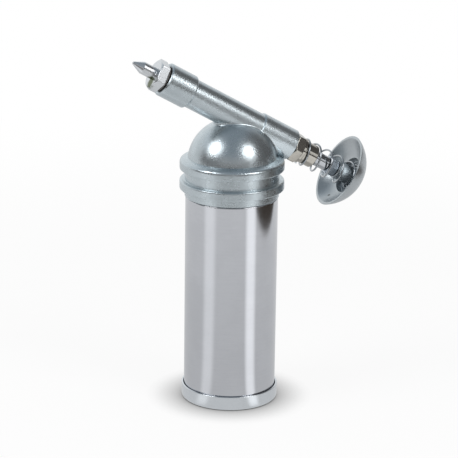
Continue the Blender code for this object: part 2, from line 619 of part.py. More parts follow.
def build_knob(materials, axis):
    """Lock nut, die-cast palm knob with its hub and spring well, and the return spring."""
    thread_hole = KNOB_THREAD_RADIUS + SEAT_GAP
    nut = turned("lock_nut", [
        (thread_hole, LOCK_NUT_FRONT),
        *chamfered_bar(LOCK_NUT_FLATS, LOCK_NUT_FRONT, LOCK_NUT_REAR, HEX_CHAMFER_INSET, HEX_CHAMFER_INSET),
        (thread_hole, LOCK_NUT_REAR),
    ], INNER_SIDES, materials["turned_steel"], axis)
    sleeve = hexagon_sleeve("lock_nut_flats_cutter", LOCK_NUT_FLATS, LOCK_NUT_FRONT - SEAT_GAP / 2,
                            LOCK_NUT_REAR + SEAT_GAP / 2, LOCK_NUT_TURN, axis)
    combine(nut, sleeve, "DIFFERENCE")

    sphere_centre = KNOB_APEX - KNOB_SPHERE
    well_floor = sphere_centre + sqrt(KNOB_SPHERE ** 2 - WELL_RADIUS ** 2) - KNOB_WALL
    edge_angle = degrees(acos(KNOB_RADIUS / KNOB_SPHERE))
    dome = arc((0.0, sphere_centre), KNOB_SPHERE, 90, edge_angle, DOME_STEPS)[1:-1]
    dish_outer = KNOB_RADIUS - KNOB_RIM_WIDTH
    middle = (WELL_RADIUS + dish_outer) / 2
    knob = [(0.0, KNOB_APEX)] + dome + softened([
        (KNOB_RADIUS, KNOB_RIM, KNOB_RIM_WIDTH / 2),
        (dish_outer, KNOB_RIM, KNOB_RIM_WIDTH / 2),
        (middle, KNOB_RIM + DISH_DEPTH / 2 + DISH_SAG),
        (WELL_RADIUS, KNOB_RIM + DISH_DEPTH, KNOB_WALL / 2),
        (WELL_RADIUS, well_floor),
        (HUB_RADIUS, well_floor),
        (HUB_RADIUS, HUB_FRONT, KNOB_WALL / 2),
        (thread_hole, HUB_FRONT),
        (thread_hole, KNOB_HOLE_END),
        (0.0, KNOB_HOLE_END),
    ])
    turned("palm_knob", knob, TUBE_SIDES, materials["knob"], axis)

    coil_spring("return_spring", RETURN_SPRING_RADIUS, RETURN_WIRE, COLLAR_REAR + SEAT_GAP,
                well_floor - SEAT_GAP, RETURN_SPRING_TURNS, RETURN_SPRING_START, RETURN_COIL_STEPS,
                RETURN_WIRE_ROUNDNESS, materials["bright_steel"], axis)


def main():
    """Clear the scene and build every piece."""
    for item in list(bpy.data.objects):
        bpy.data.objects.remove(item, do_unlink=True)
    materials = {
        "tube": new_material("chromed_tube", (0.66, 0.67, 0.69), 0.16, 1.0),
        "cap": new_material("plated_cap", (0.62, 0.63, 0.64), 0.28, 1.0),
        "casting": new_material("plated_zinc_casting", (0.60, 0.63, 0.65), 0.24, 1.0),
        "turned_steel": new_material("zinc_plated_steel", (0.62, 0.64, 0.65), 0.26, 1.0),
        "bright_steel": new_material("bright_steel", (0.68, 0.68, 0.68), 0.12, 1.0),
        "knob": new_material("plated_knob_casting", (0.58, 0.60, 0.61), 0.30, 1.0),
        "plate": new_material("pressed_steel", (0.50, 0.50, 0.51), 0.35, 1.0),
        "rubber": new_material("black_rubber", (0.02, 0.02, 0.02), 0.75, 0.0),
    }
    axis = bpy.data.objects.new("barrel_axis", None)
    bpy.context.collection.objects.link(axis)
    axis.location.z = CROSSING_Z
    axis.rotation_euler = (0.0, pi / 2 + TILT, 0.0)
    build_reservoir(materials)
    build_follower(materials)
    build_head(materials, axis)
    build_nozzle(materials, axis)
    build_valve(materials, axis)
    build_gland(materials, axis)
    build_plunger(materials, axis)
    build_knob(materials, axis)


main()
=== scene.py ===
"""Fine surfaces, finishes and studio for a push-type grease applicator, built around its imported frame.

Lengths are in metres and +Z is up, as in the frame. A place along the pump barrel is a station: its distance
from the crossing with the tube's axis, negative towards the nozzle. Most pieces are turned, so their shape is
a profile of (radius, height) points carried round an axis. Radii and heights may vary with the angle.
"""

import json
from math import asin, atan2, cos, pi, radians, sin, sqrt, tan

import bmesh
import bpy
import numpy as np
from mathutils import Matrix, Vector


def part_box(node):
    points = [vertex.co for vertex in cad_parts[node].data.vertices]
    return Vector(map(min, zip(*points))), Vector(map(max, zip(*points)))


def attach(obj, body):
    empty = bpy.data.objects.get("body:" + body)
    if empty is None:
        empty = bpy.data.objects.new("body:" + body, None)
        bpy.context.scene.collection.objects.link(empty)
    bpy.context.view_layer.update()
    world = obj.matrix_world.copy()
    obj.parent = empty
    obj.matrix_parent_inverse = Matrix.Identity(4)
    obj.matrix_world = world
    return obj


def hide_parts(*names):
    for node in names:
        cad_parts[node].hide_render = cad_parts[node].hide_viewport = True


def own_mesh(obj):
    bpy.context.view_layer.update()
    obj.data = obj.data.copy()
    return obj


bl_info = {
    "name": "Grease applicator finish",
    "version": (1, 0, 0),
    "blender": (4, 5, 0),
    "location": "View3D > Sidebar > Applicator",
    "description": "Fine surfaces, finishes and studio for the grease applicator",
    "category": "Object",
}

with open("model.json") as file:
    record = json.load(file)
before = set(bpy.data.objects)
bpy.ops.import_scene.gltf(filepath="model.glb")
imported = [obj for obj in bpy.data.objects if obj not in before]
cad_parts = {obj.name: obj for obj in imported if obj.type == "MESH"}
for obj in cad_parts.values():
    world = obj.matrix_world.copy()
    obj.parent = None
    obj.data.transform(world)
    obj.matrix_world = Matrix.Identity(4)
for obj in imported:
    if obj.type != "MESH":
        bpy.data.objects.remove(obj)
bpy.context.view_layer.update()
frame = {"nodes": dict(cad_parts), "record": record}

MM = 0.001
AIM = Vector((0.0, 0.0, 0.085))  # what the softboxes face
SHARP_ANGLE = radians(32)    # faces that meet at more than this keep a sharp edge
WELD = 2e-7                  # points nearer than this are one
SEAT = 0.3 * MM              # gap between pieces that are fixed in each other
RUNNING = 0.12 * MM          # gap round the sliding plunger
NEAR = 0.2 * MM              # radii nearer than this belong to one surface
HOLD = 1.08                  # place of the row past a rounded corner, as a share of the corner's width
EDGE_SHARE = 0.45            # most of an edge that a rounded corner takes
PORT_OVERCUT = 2 * MM        # the port's cut starts so far below the roof, and stops so far below the axis
SINK = 0.04 * MM             # how far the fillet lies inside the surfaces that it joins
BURIED = 0.3                 # how far its wedge's edge lies inside them, as a share of its radius

# Facets round the smaller pieces, and rows along the curves
VENT_SIDES = 24
PORT_SIDES = 36
BORE_SIDES = 72
ROD_SIDES = 96
KNOB_SIDES = 216
FLOOR_SIDES = 96
DOME_ROWS = 60
CAVITY_ROWS = 30
KNOB_ROWS = 48
DISH_ROWS = 20
THREAD_ROWS = 14             # in each turn of the rolled thread


def joint(name):
    """Record of the named joint."""
    return next(j for j in frame["record"]["behaviour"]["joints"] if j["name"] == name)


def vertices(node):
    """All the corners of a CAD node, as one array."""
    mesh = frame["nodes"][node].data
    flat = np.empty(len(mesh.vertices) * 3)
    mesh.vertices.foreach_get("co", flat)
    return flat.reshape(-1, 3)


# Barrel's own directions: along it to the knob, down across it, and sideways
ALONG = -np.array(joint("plunger_slide")["axis"])
DOWN = np.array([ALONG[2], 0.0, -ALONG[0]])
SIDE = np.array([0.0, 1.0, 0.0])
# The barrel's axis runs through the plunger's middle, and crosses the tube's axis here
ROD_DOWN = vertices("plunger") @ DOWN
CROSSING = np.array([0.0, 0.0, -(ROD_DOWN.min() + ROD_DOWN.max()) / 2 / ALONG[0]])


def barrel_places(node):
    """Station and radius from the barrel's axis of each of a node's corners."""
    offset = vertices(node) - CROSSING
    station = offset @ ALONG
    return station, np.linalg.norm(offset - station[:, None] * ALONG, axis=1)


def stations(node, inner=0.0, outer=1.0):
    """Lowest and highest station of a node's corners that lie between two radii from the barrel's axis."""
    station, radius = barrel_places(node)
    kept = station[(radius >= inner) & (radius <= outer)]
    return float(kept.min()), float(kept.max())


def radii(node, middle=0.0, reach=1.0):
    """Smallest and largest radius from the barrel's axis of a node's corners within reach of a station."""
    station, radius = barrel_places(node)
    kept = radius[np.abs(station - middle) <= reach]
    return float(kept.min()), float(kept.max())


def tube_radius(node):
    """Largest radius from the tube's axis of a node's corners."""
    points = vertices(node)
    return float(np.hypot(points[:, 0], points[:, 1]).max())


def upright(points):
    """Points turned about the tube's axis, as they are."""
    return points


def on_barrel(points):
    """Points turned about Z, laid along the barrel with their height as the station."""
    return CROSSING + points[..., :1] * DOWN + points[..., 1:2] * SIDE + points[..., 2:] * ALONG


def even_angles(sides):
    """Directions at equal steps round the axis."""
    return np.linspace(0.0, 2 * pi, sides, endpoint=False)


def hexagon(turn, flats, rounding, per_flat=17, per_corner=5):
    """Directions round a hexagonal bar, closer over its rounded corners, and its radius in each of them.

    On a flat the radius is half the width over the cosine of the angle from the flat's middle. In a corner it
    is the far crossing of the ray with the corner's circle: d cos a + sqrt(rounding^2 - (d sin a)^2), where d
    is the distance of the circle's centre from the axis and a the angle from the corner's middle.
    """
    centre = (flats / 2 - rounding) / cos(pi / 6)
    half = atan2(rounding / 2, centre + rounding * cos(pi / 6))
    on_flat = np.linspace(half - pi / 6, pi / 6 - half, per_flat)
    on_corner = np.linspace(-half, half, per_corner)[1:-1]
    rounded = centre * np.cos(on_corner) + np.sqrt(rounding ** 2 - (centre * np.sin(on_corner)) ** 2)
    sector = np.concatenate([on_flat, pi / 6 + on_corner])
    angles = (turn + np.arange(6)[:, None] * pi / 3 + sector).ravel()
    return angles, np.tile(np.concatenate([flats / 2 / np.cos(on_flat), rounded]), 6)


def outline(corners, angles, closed=True, steps=5):
    """Rows of (radius, height) for a profile whose corners may be rounded.

    A corner is (radius, height) or (radius, height, width). Its radius and height are numbers, or arrays over
    the angles. A rounded corner is a parabola, (1-t)^2 before + 2t(1-t) corner + t^2 after, whose ends lie
    at the width from the corner along its two edges, but no further than EDGE_SHARE of the shorter one. One
    more row just past each end keeps the shading of the long faces level.
    """
    places = []
    for corner in corners:
        radius, height = (np.broadcast_to(value, angles.shape) for value in corner[:2])
        places.append(np.stack([radius, height], axis=-1))
    rows = []
    t = np.linspace(0.0, 1.0, steps + 1)[:, None, None]
    for k, here in enumerate(places):
        ends = not closed and k in (0, len(places) - 1)
        if len(corners[k]) == 2 or ends:
            rows.append(here[None])
            continue
        before = places[k - 1] - here
        after = places[(k + 1) % len(places)] - here
        shortest = np.minimum(np.linalg.norm(before, axis=-1), np.linalg.norm(after, axis=-1))
        reach = np.minimum(corners[k][2], EDGE_SHARE * shortest)[:, None]
        before = before / np.linalg.norm(before, axis=-1, keepdims=True) * reach
        after = after / np.linalg.norm(after, axis=-1, keepdims=True) * reach
        rows.append((here + HOLD * before)[None])
        rows.append((1 - t) ** 2 * (here + before) + 2 * t * (1 - t) * here + t ** 2 * (here + after))
        rows.append((here + HOLD * after)[None])
    return np.concatenate(rows)


def arc(centre, radius, start, end, steps):
    """Profile corners along an arc about a point on the axis, from one angle to another."""
    turn = np.linspace(start, end, steps + 1)
    return list(zip(radius * np.cos(turn), centre + radius * np.sin(turn)))


def skin(name, points, closed_rows):
    """Mesh of quads over a grid of points: each row of it closes round, and its rows may close too."""
    rows, columns = points.shape[:2]
    index = np.arange(rows * columns).reshape(rows, columns)
    beside = np.roll(index, -1, axis=1)
    above = np.roll(index, -1, axis=0)
    corner = np.roll(above, -1, axis=1)
    quads = np.stack([index, beside, corner, above], axis=-1)
    quads = quads if closed_rows else quads[:-1]
    mesh = bpy.data.meshes.new(name)
    mesh.from_pydata(points.reshape(-1, 3), [], quads.reshape(-1, 4))
    shape = bmesh.new()
    shape.from_mesh(mesh)
    bmesh.ops.remove_doubles(shape, verts=shape.verts, dist=WELD)
    bmesh.ops.recalc_face_normals(shape, faces=shape.faces)
    shape.to_mesh(mesh)
    shape.free()
    return mesh


def turned(name, corners, angles, place, closed=True):
    """Solid turned about an axis: point = (radius cos a, radius sin a, height) for each row and angle a."""
    profile = outline(corners, angles, closed)
    radius = profile[..., 0]
    points = np.stack([radius * np.cos(angles), radius * np.sin(angles), profile[..., 1]], axis=-1)
    return skin(name, place(points), closed)


def plain(radius, low, high):
    """Profile corners of a plain cylinder."""
    return [(0.0, low), (radius, low), (radius, high), (0.0, high)]


def coil(name, node, turns, start, sizes, around=14, along=64):
    """Spring wire between a node's ends: point = centre line + wire/2 (cos b outwards + sin b across both).

    The centre line is (radius cos a, radius sin a, height). Its height rises by the sum of a pitch that is
    nothing over the dead turn at each end and full between them.
    """
    low, high = stations(node)
    inner, outer = radii(node)
    wire = outer - inner
    wound = np.linspace(0.0, turns, round(turns * along) + 1)
    from_end = np.minimum(wound, turns - wound)
    pitch = np.clip((from_end - sizes.dead_turn) / sizes.eased_turn + 0.5, 0.0, 1.0)
    risen = np.concatenate([[0.0], np.cumsum((pitch[1:] + pitch[:-1]) / 2)])
    height = low + wire / 2 + (high - low - wire) * risen / risen[-1]
    direction = start + 2 * pi * wound
    outward = np.stack([np.cos(direction), np.sin(direction), 0 * direction], axis=-1)
    centre = (inner + outer) / 2 * outward + height[:, None] * np.array([0.0, 0.0, 1.0])
    tangent = np.gradient(centre, axis=0)
    tangent /= np.linalg.norm(tangent, axis=1, keepdims=True)
    across = np.cross(tangent, outward)
    round_wire = even_angles(around)[:, None, None]
    section = np.cos(round_wire) * outward + np.sin(round_wire) * across
    rows = (centre + wire / 2 * section).transpose(1, 0, 2)
    tips = [np.broadcast_to(centre[k], (1, around, 3)) for k in (0, -1)]
    return skin(name, on_barrel(np.concatenate([tips[0], rows, tips[1]])), False)


def cut_and_joined(mesh, steps):
    """Mesh after exact Booleans with other meshes, each (operation, mesh), one after the other."""
    base = bpy.data.objects.new("work", mesh)
    bpy.context.collection.objects.link(base)
    tools = []
    for operation, tool_mesh in steps:
        tool = bpy.data.objects.new("tool", tool_mesh)
        bpy.context.collection.objects.link(tool)
        tools.append(tool)
        modifier = base.modifiers.new(operation, "BOOLEAN")
        modifier.operation = operation
        modifier.object = tool
    bpy.context.view_layer.update()
    evaluated = base.evaluated_get(bpy.context.evaluated_depsgraph_get())
    result = bpy.data.meshes.new_from_object(evaluated)
    for item in [base, *tools]:
        bpy.data.objects.remove(item, do_unlink=True)
    return result


def finished(name, mesh, material, body, slot, *nodes):
    """Piece shown in place of CAD nodes: smooth but for its sharp edges, riding on a body."""
    mesh.shade_smooth()
    mesh.set_sharp_from_angle(angle=SHARP_ANGLE)
    mesh.materials.clear()
    mesh.materials.append(material)
    piece = bpy.data.objects.new(name, mesh)
    bpy.context.collection.objects.link(piece)
    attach(piece, body)
    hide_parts(*nodes)
    return piece


class Signal:
    """Value on a socket of a finish. Arithmetic on it adds Math nodes."""

    def __init__(self, finish, socket):
        self.finish = finish
        self.socket = socket

    def math(self, operation, first, second=0.0):
        """Math node of two values."""
        return self.finish.node("ShaderNodeMath", {"operation": operation}, {0: first, 1: second})

    def __abs__(self):
        return self.math("ABSOLUTE", self)

    def __add__(self, other):
        return self.math("ADD", self, other)

    __radd__ = __add__

    def __sub__(self, other):
        return self.math("SUBTRACT", self, other)

    def __rsub__(self, other):
        return self.math("SUBTRACT", other, self)

    def __mul__(self, other):
        return self.math("MULTIPLY", self, other)

    __rmul__ = __mul__

    def __pow__(self, other):
        return self.math("POWER", self, other)

    def step(self, low, high):
        """Smooth step of the value, 0 below the low edge and 1 above the high one."""
        settings = {"interpolation_type": "SMOOTHSTEP"}
        inputs = {"Value": self, "From Min": low, "From Max": high}
        return self.finish.node("ShaderNodeMapRange", settings, inputs)

    def edge(self, middle, blur):
        """Smooth step of the value from a blur below a middle to a blur above it."""
        return self.step(middle - blur, middle + blur)

    def blend(self, other, share):
        """The value with a share of another one in its place."""
        return self * (1.0 - share) + other * share


class Finish:
    """Node tree of a material or the world, and the way that nodes are added to it."""

    def __init__(self, owner):
        self.owner = owner
        owner.use_nodes = True
        self.tree = owner.node_tree
        self.tree.nodes.clear()

    def node(self, kind, settings=None, inputs=None, output=0):
        """Add a node: its settings first, then the value or link of each named socket."""
        made = self.tree.nodes.new(kind)
        for key, value in (settings or {}).items():
            setattr(made, key, value)
        for key, value in (inputs or {}).items():
            socket = made.inputs[key]
            if isinstance(value, Signal):
                self.tree.links.new(value.socket, socket)
            elif socket.type == "RGBA" and len(value) == 3:
                socket.default_value = (*value, 1.0)
            else:
                socket.default_value = value
        return Signal(self, made.outputs[output] if made.outputs else None)

    def mixed(self, factor, first, second):
        """Colour between two others."""
        settings = {"data_type": "RGBA"}
        return self.node("ShaderNodeMix", settings, {0: factor, 6: first, 7: second}, 2)

    def noise(self, scale, detail=3.0, place=None):
        """Noise value about 0.5, with features about 1/scale metres wide."""
        inputs = {"Vector": place or self.place(), "Scale": scale, "Detail": detail}
        return self.node("ShaderNodeTexNoise", None, inputs)

    def place(self, scale=(1.0, 1.0, 1.0)):
        """Object coordinates, drawn out or packed along the axes by the scale."""
        coordinates = self.node("ShaderNodeTexCoord", None, None, 3)
        if scale == (1.0, 1.0, 1.0):
            return coordinates
        return self.node("ShaderNodeMapping", None, {"Vector": coordinates, "Scale": scale})

    def vector(self, operation, *vectors, output=0):
        """Vector Math node. Its output is 0 for a vector and 1 for a number."""
        return self.node("ShaderNodeVectorMath", {"operation": operation}, dict(enumerate(vectors)), output)

    def distance(self, point):
        """Distance from a point of the object."""
        return self.vector("DISTANCE", self.place(), tuple(point), output=1)

    def dot(self, vector, axis):
        """How far a vector reaches along an axis."""
        return self.vector("DOT_PRODUCT", vector, axis, output=1)

    def rays(self):
        """Whether the camera looks, and whether a reflection or a refraction does, each 0 or 1."""
        path = self.tree.nodes.new("ShaderNodeLightPath")
        looks = Signal(self, path.outputs["Is Camera Ray"])
        mirrored = Signal(self, path.outputs["Is Glossy Ray"])
        passed = Signal(self, path.outputs["Is Transmission Ray"])
        return looks, mirrored.math("MAXIMUM", mirrored, passed)

    def bump(self, height, depth):
        """Normal of a surface raised by a height from 0 to 1, times the depth."""
        return self.node("ShaderNodeBump", None, {"Height": height, "Distance": depth, "Strength": 1.0})

    def end(self, inputs):
        """Principled shader with these sockets, to the output."""
        surface = self.node("ShaderNodeBsdfPrincipled", None, inputs)
        self.node("ShaderNodeOutputMaterial", None, {"Surface": surface})
        return self.owner


# Noises of the finishes: features per metre, and how much the fine grain makes up of each plated one
PATCH_SCALE = 70.0
GLOSS_SCALE = 220.0
GRAIN_SCALE = 900.0
GRAIN_IN_TONE = 0.3
GRAIN_IN_GLOSS = 0.4
GRAIN_IN_SKIN = 0.2
TONE_EDGES = (0.35, 0.65)    # noise values between which one tone passes into the other
PEBBLE_EDGES = (0.3, 0.7)    # the same on rubber


def metal(name, colour, roughness, spread=0.08, darker=0.88, waves=700.0, depth=2e-5, grain=GRAIN_SCALE,
          drawn=(1.0, 1.0, 1.0), painted_shade_spot=None, painted_shade=None):
    """Plated metal: two close tones in soft patches, uneven gloss, and a fine skin of low waves and grain.

    The darker tone is a share of the colour, and the spread is how much the roughness varies. Waves and grain
    are in features per metre, the depth is theirs, and drawn packs or stretches the grain along the axes. A
    spot is (place, radius, width of its edge) of painted shade: a second colour in the base colour that
    stands for a shadow or the dark of a hollow.
    """
    finish = Finish(bpy.data.materials.new(name))
    patches = finish.noise(PATCH_SCALE, 4.0)
    fine = finish.noise(grain, 2.0, finish.place(drawn))
    low_waves = finish.noise(waves, 2.0)
    tone = patches.blend(fine, GRAIN_IN_TONE).step(*TONE_EDGES)
    base = finish.mixed(tone, colour, tuple(darker * c for c in colour))
    # Painted shade: inside the spot the base colour turns to the darker colour of a shadow or of a hollow's
    # dark.
    if painted_shade_spot:
        centre, reach, edge = painted_shade_spot
        ragged = finish.distance(centre) + (finish.noise(GRAIN_SCALE) - 0.5) * edge
        base = finish.mixed(1.0 - ragged.step(reach - edge, reach), base, painted_shade)
    gloss = (finish.noise(GLOSS_SCALE).blend(fine, GRAIN_IN_GLOSS) - 0.5) * spread + roughness
    return finish.end({
        "Base Color": base,
        "Roughness": gloss,
        "Metallic": 1.0,
        "Normal": finish.bump(low_waves.blend(fine, GRAIN_IN_SKIN), depth),
    })


def bright_steel(name, tint):
    """Bright turned or drawn steel."""
    return metal(name, tint, 0.11, spread=0.05, waves=500.0, depth=3e-6)


def rubber(name, colour, paler=1.6, pebbles=2500.0, depth=4e-5, least=0.6, spread=0.2, gloss=300.0):
    """Black moulded rubber: a matt skin of pebbles in two tones.

    The paler tone is a multiple of the colour. Pebbles and gloss are in features per metre, the depth is the
    pebbles', and the roughness lies between its least value and the spread above it.
    """
    finish = Finish(bpy.data.materials.new(name))
    pebble = finish.noise(pebbles, 2.0)
    return finish.end({
        "Base Color": finish.mixed(pebble.step(*PEBBLE_EDGES), colour, tuple(paler * c for c in colour)),
        "Roughness": least + spread * finish.noise(gloss),
        "Normal": finish.bump(pebble, depth),
    })


def length(name, default, description):
    """Property for a length in metres."""
    return bpy.props.FloatProperty(name=name, description=description, default=default, unit="LENGTH",
                                   subtype="DISTANCE", precision=5)


def angle(name, default, description):
    """Property for an angle, with its default in degrees."""
    return bpy.props.FloatProperty(name=name, description=description, default=radians(default),
                                   subtype="ANGLE", unit="ROTATION")


def colour(name, default, description):
    """Property for a linear colour."""
    return bpy.props.FloatVectorProperty(name=name, description=description, default=default,
                                         subtype="COLOR", size=3, min=0.0, max=1.0)


def point(name, default, description):
    """Property for a place in metres."""
    return bpy.props.FloatVectorProperty(name=name, description=description, default=default,
                                         subtype="TRANSLATION", size=3, precision=5)


def factor(name, default, description):
    """Property for a plain number."""
    return bpy.props.FloatProperty(name=name, description=description, default=default, subtype="FACTOR",
                                   min=0.0, max=10.0)


def facets(name, default, description):
    """Property for a number of facets."""
    return bpy.props.IntProperty(name=name, description=description, default=default, min=24)


TUBE_LOW, TUBE_TOP = (corner.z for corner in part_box("reservoir_tube"))
CAP_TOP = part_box("base_cap")[1].z
HEAD_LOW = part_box("pump_head")[0].z
REAR_EDGE = (0.0073, 0.0080)  # radii between which the edge of the barrel's rear face lies
BARREL_REAR = stations("pump_head", *REAR_EDGE)[1]


class TubeSizes(bpy.types.PropertyGroup):
    """Sizes of the reservoir tube and its base cap."""

    sides: facets("Sides", 240, "Facets round the tube and the cap")
    wall: length("Wall", 0.0010, "Thickness of the tube's wall")
    shoulder: length("Shoulder", 0.1030, "Height of the shoulder under the neck")
    neck_step: length("Neck step", 0.0013, "How far the neck is drawn in")
    thread_pitch: length("Thread pitch", 0.0020, "Rise of the rolled thread in one turn")
    thread_depth: length("Thread depth", 0.0006, "Crest to root of the rolled thread")
    thread_start: factor("Thread start", 0.3, "Plain part at each end of the neck, in turns of the thread")
    edge: length("Edge", 0.0005, "Rounding of the tube's edges")
    cap_wall: length("Cap wall", 0.00085, "Thickness of the cap's wall")
    cap_floor: length("Cap floor", 0.0012, "Thickness of the cap's floor")
    cap_edge: length("Cap edge", 0.0015, "Rounding of the cap's lower edge")
    vent: length("Vent", 0.0008, "Radius of the air hole in the cap")
    vent_offset: length("Vent offset", 0.0120, "Air hole's distance from the cap's centre")


class HeadSizes(bpy.types.PropertyGroup):
    """Sizes of the cast pump head."""

    sides: facets("Sides", 192, "Facets round the dome")
    barrel_sides: facets("Barrel sides", 144, "Facets round the barrel")
    skirt: length("Skirt radius", 0.0229, "Radius between the beads")
    bead: length("Bead radius", 0.0254, "Radius of the two grip beads")
    lip: length("Lip", 0.0037, "Foot of the skirt to the lower bead")
    bead_width: length("Bead width", 0.0043, "Width of each bead")
    bead_edge: length("Bead edge", 0.0009, "Rounding of the lower bead's upper edge")
    upper_edge: length("Upper bead's edge", 0.0014, "Rounding of the upper bead's upper edge")
    bead_top: length("Upper bead's top", 0.1211, "Height of the upper bead's top edge")
    ledge_rise: length("Ledge rise", 0.0013, "Slope of the ledge between the upper bead and the dome")
    dome: length("Dome radius", 0.02175, "Radius of the dome")
    dome_height: length("Dome centre", 0.1194, "Height of the dome's centre")
    socket: length("Socket", 0.0215, "Radius of the threaded socket")
    socket_top: length("Socket top", 0.1191, "Height of the socket's shoulder")
    cavity: length("Cavity", 0.0186, "Radius of the grease cavity")
    cavity_top: length("Cavity top", 0.1296, "Height of the cavity's roof")
    boss: length("Boss radius", 0.00834, "Radius of the nozzle's boss")
    boss_face: length("Boss face", -0.0402, "Station of the boss's face")
    boss_length: length("Boss length", 0.0149, "Length of the boss")
    fore: length("Fore radius", 0.0072, "Radius of the fore barrel")
    rear: length("Rear radius", 0.00784, "Radius of the rear barrel")
    rear_step: length("Rear step", 0.0146, "Station where the barrel grows")
    chamfer: length("Chamfer", 0.0006, "Chamfer of the barrel's steps")
    fillet: length("Fillet", 0.0012, "Radius of the fillet between dome and barrel")
    port: length("Port", 0.0012, "Radius of the feed port")
    orifice: length("Orifice", 0.0015, "Radius of the outlet's orifice")
    ball_clearance: length("Ball clearance", 0.0006, "Room round the valve's ball")
    relief: length("Relief", 0.0005, "Depth of the bore past the nozzle's thread")
    end_relief: length("End relief", 0.0016, "Bore left ahead of the piston at full stroke")
    cone_past_ball: factor("Cone past ball", 0.25, "Share of the seat's cone beyond the ball")


class FittingSizes(bpy.types.PropertyGroup):
    """Sizes of the nozzle, the nuts and the springs."""

    corner: length("Corner", 0.00025, "Rounding of a hexagon's corners")
    edge: length("Edge", 0.00018, "Rounding of turned edges")
    chamfer_inset: length("Chamfer inset", 0.0003, "Chamfer's inner circle inside the flats")
    chamfer_angle: angle("Chamfer angle", 30.0, "Angle of a chamfer to the end face")
    nozzle_flats: length("Nozzle flats", 0.0140, "Width across the nozzle's flats")
    nozzle_hexagon: length("Nozzle hexagon", 0.0045, "Length of the nozzle's hexagon")
    nozzle_turn: angle("Nozzle turn", 12.5, "Direction of a flat as the nozzle is tightened")
    nozzle_shank: length("Nozzle shank", 0.0085, "Length of the nozzle's thread")
    pin: length("Pin radius", 0.0030, "Radius of the nozzle's pin")
    # Middle and reach of the painted shadow below the nozzle's pin, a dark olive spot on its hexagon's face.
    pin_shadow_down: length("Film below", 0.0043, "Film's middle below the nozzle's axis")
    pin_shadow_side: length("Film aside", -0.0020, "Film's middle beside the nozzle's axis")
    pin_shadow_reach: length("Film's reach", 0.0036, "Radius of the film at the pin's root")
    cone: length("Cone length", 0.0052, "Length of the nozzle's cone")
    tip: length("Tip radius", 0.00065, "Radius of the nozzle's tip")
    gland_flats: length("Gland flats", 0.0130, "Width across the gland nut's flats")
    gland_hexagon: length("Gland hexagon", 0.0047, "Length of the gland nut's hexagon")
    collar_inset: length("Collar inset", 0.0001, "Gland nut's collar inside its flats")
    gland_turn: angle("Gland turn", 4.5, "Direction of a flat as the gland nut is tightened")
    lock_turn: angle("Lock nut turn", 0.0, "Direction of a flat as the lock nut is tightened")
    coil_turns: factor("Coil turns", 5.7, "Turns of the return spring")
    coil_start: angle("Coil start", -2.5, "Direction where the return spring's wire begins")
    valve_turns: factor("Valve turns", 9.0, "Turns of the valve's spring")
    dead_turn: factor("Dead turn", 0.65, "Closed turn at each end of a spring")
    eased_turn: factor("Eased turn", 0.25, "Part of a turn over which the pitch opens")


class KnobSizes(bpy.types.PropertyGroup):
    """Sizes of the palm knob."""

    depth: length("Depth", 0.0118, "Rim's plane to the middle of the back")
    rim: length("Rim width", 0.0013, "Width of the rim")
    wall: length("Wall", 0.0011, "Thickness of the wall behind the well")
    dish: length("Dish depth", 0.0055, "Rim's plane to the edge of the well")
    sag: length("Dish sag", 0.0009, "Bow of the dish below a straight cone")
    well: length("Well radius", 0.00915, "Radius of the well round the spring")
    tip_wall: length("Tip wall", 0.0030, "Metal behind the threaded hole")
    # The cast pit is painted shade: a dark spot in the dish's colour, with no hollow cut for it.
    painted_pit: length("Pit", 0.0009, "Radius of the cast pit in the dish")
    painted_pit_turn: angle("Pit's direction", 12.0, "Direction of the pit from the knob's axis")
    painted_pit_place: factor("Pit's place", 0.45, "Share of the way from the rim to the well")


class Colours(bpy.types.PropertyGroup):
    """Colours of the finishes."""

    tube: colour("Tube", (0.61, 0.62, 0.65), "Satin chrome of the tube")
    cap: colour("Cap", (0.70, 0.73, 0.76), "Zinc plate of the base cap")
    casting: colour("Casting", (0.575, 0.635, 0.665), "Bluish plate of the pump head")
    nozzle: colour("Nozzle", (0.69, 0.71, 0.73), "Zinc plate of the nozzle")
    # Painted shadow: the dark olive colour of the patch below the nozzle's pin, where the pin shades the
    # hexagon's face.
    painted_shade: colour("Film", (0.10, 0.12, 0.06), "Olive film of old grease on the nozzle")
    gland: colour("Gland nut", (0.43, 0.41, 0.37), "Warm bright steel of the gland nut")
    rod: colour("Rod", (0.43, 0.445, 0.465), "Ground steel of the plunger")
    wire: colour("Wire", (0.50, 0.52, 0.54), "Drawn steel of the springs")
    lock: colour("Lock nut", (0.53, 0.58, 0.64), "Blue zinc plate of the lock nut")
    knob: colour("Knob", (0.50, 0.535, 0.555), "Plate of the palm knob")
    # Painted shade: the dark of the knob's cast pit, given as a colour in the dish.
    painted_pit: colour("Pit", (0.16, 0.17, 0.16), "Bare metal in the knob's cast pit")
    plate: colour("Plates", (0.50, 0.50, 0.51), "Pressed steel of the follower's plates")
    rubber: colour("Rubber", (0.09, 0.085, 0.08), "Rubber of the seals")


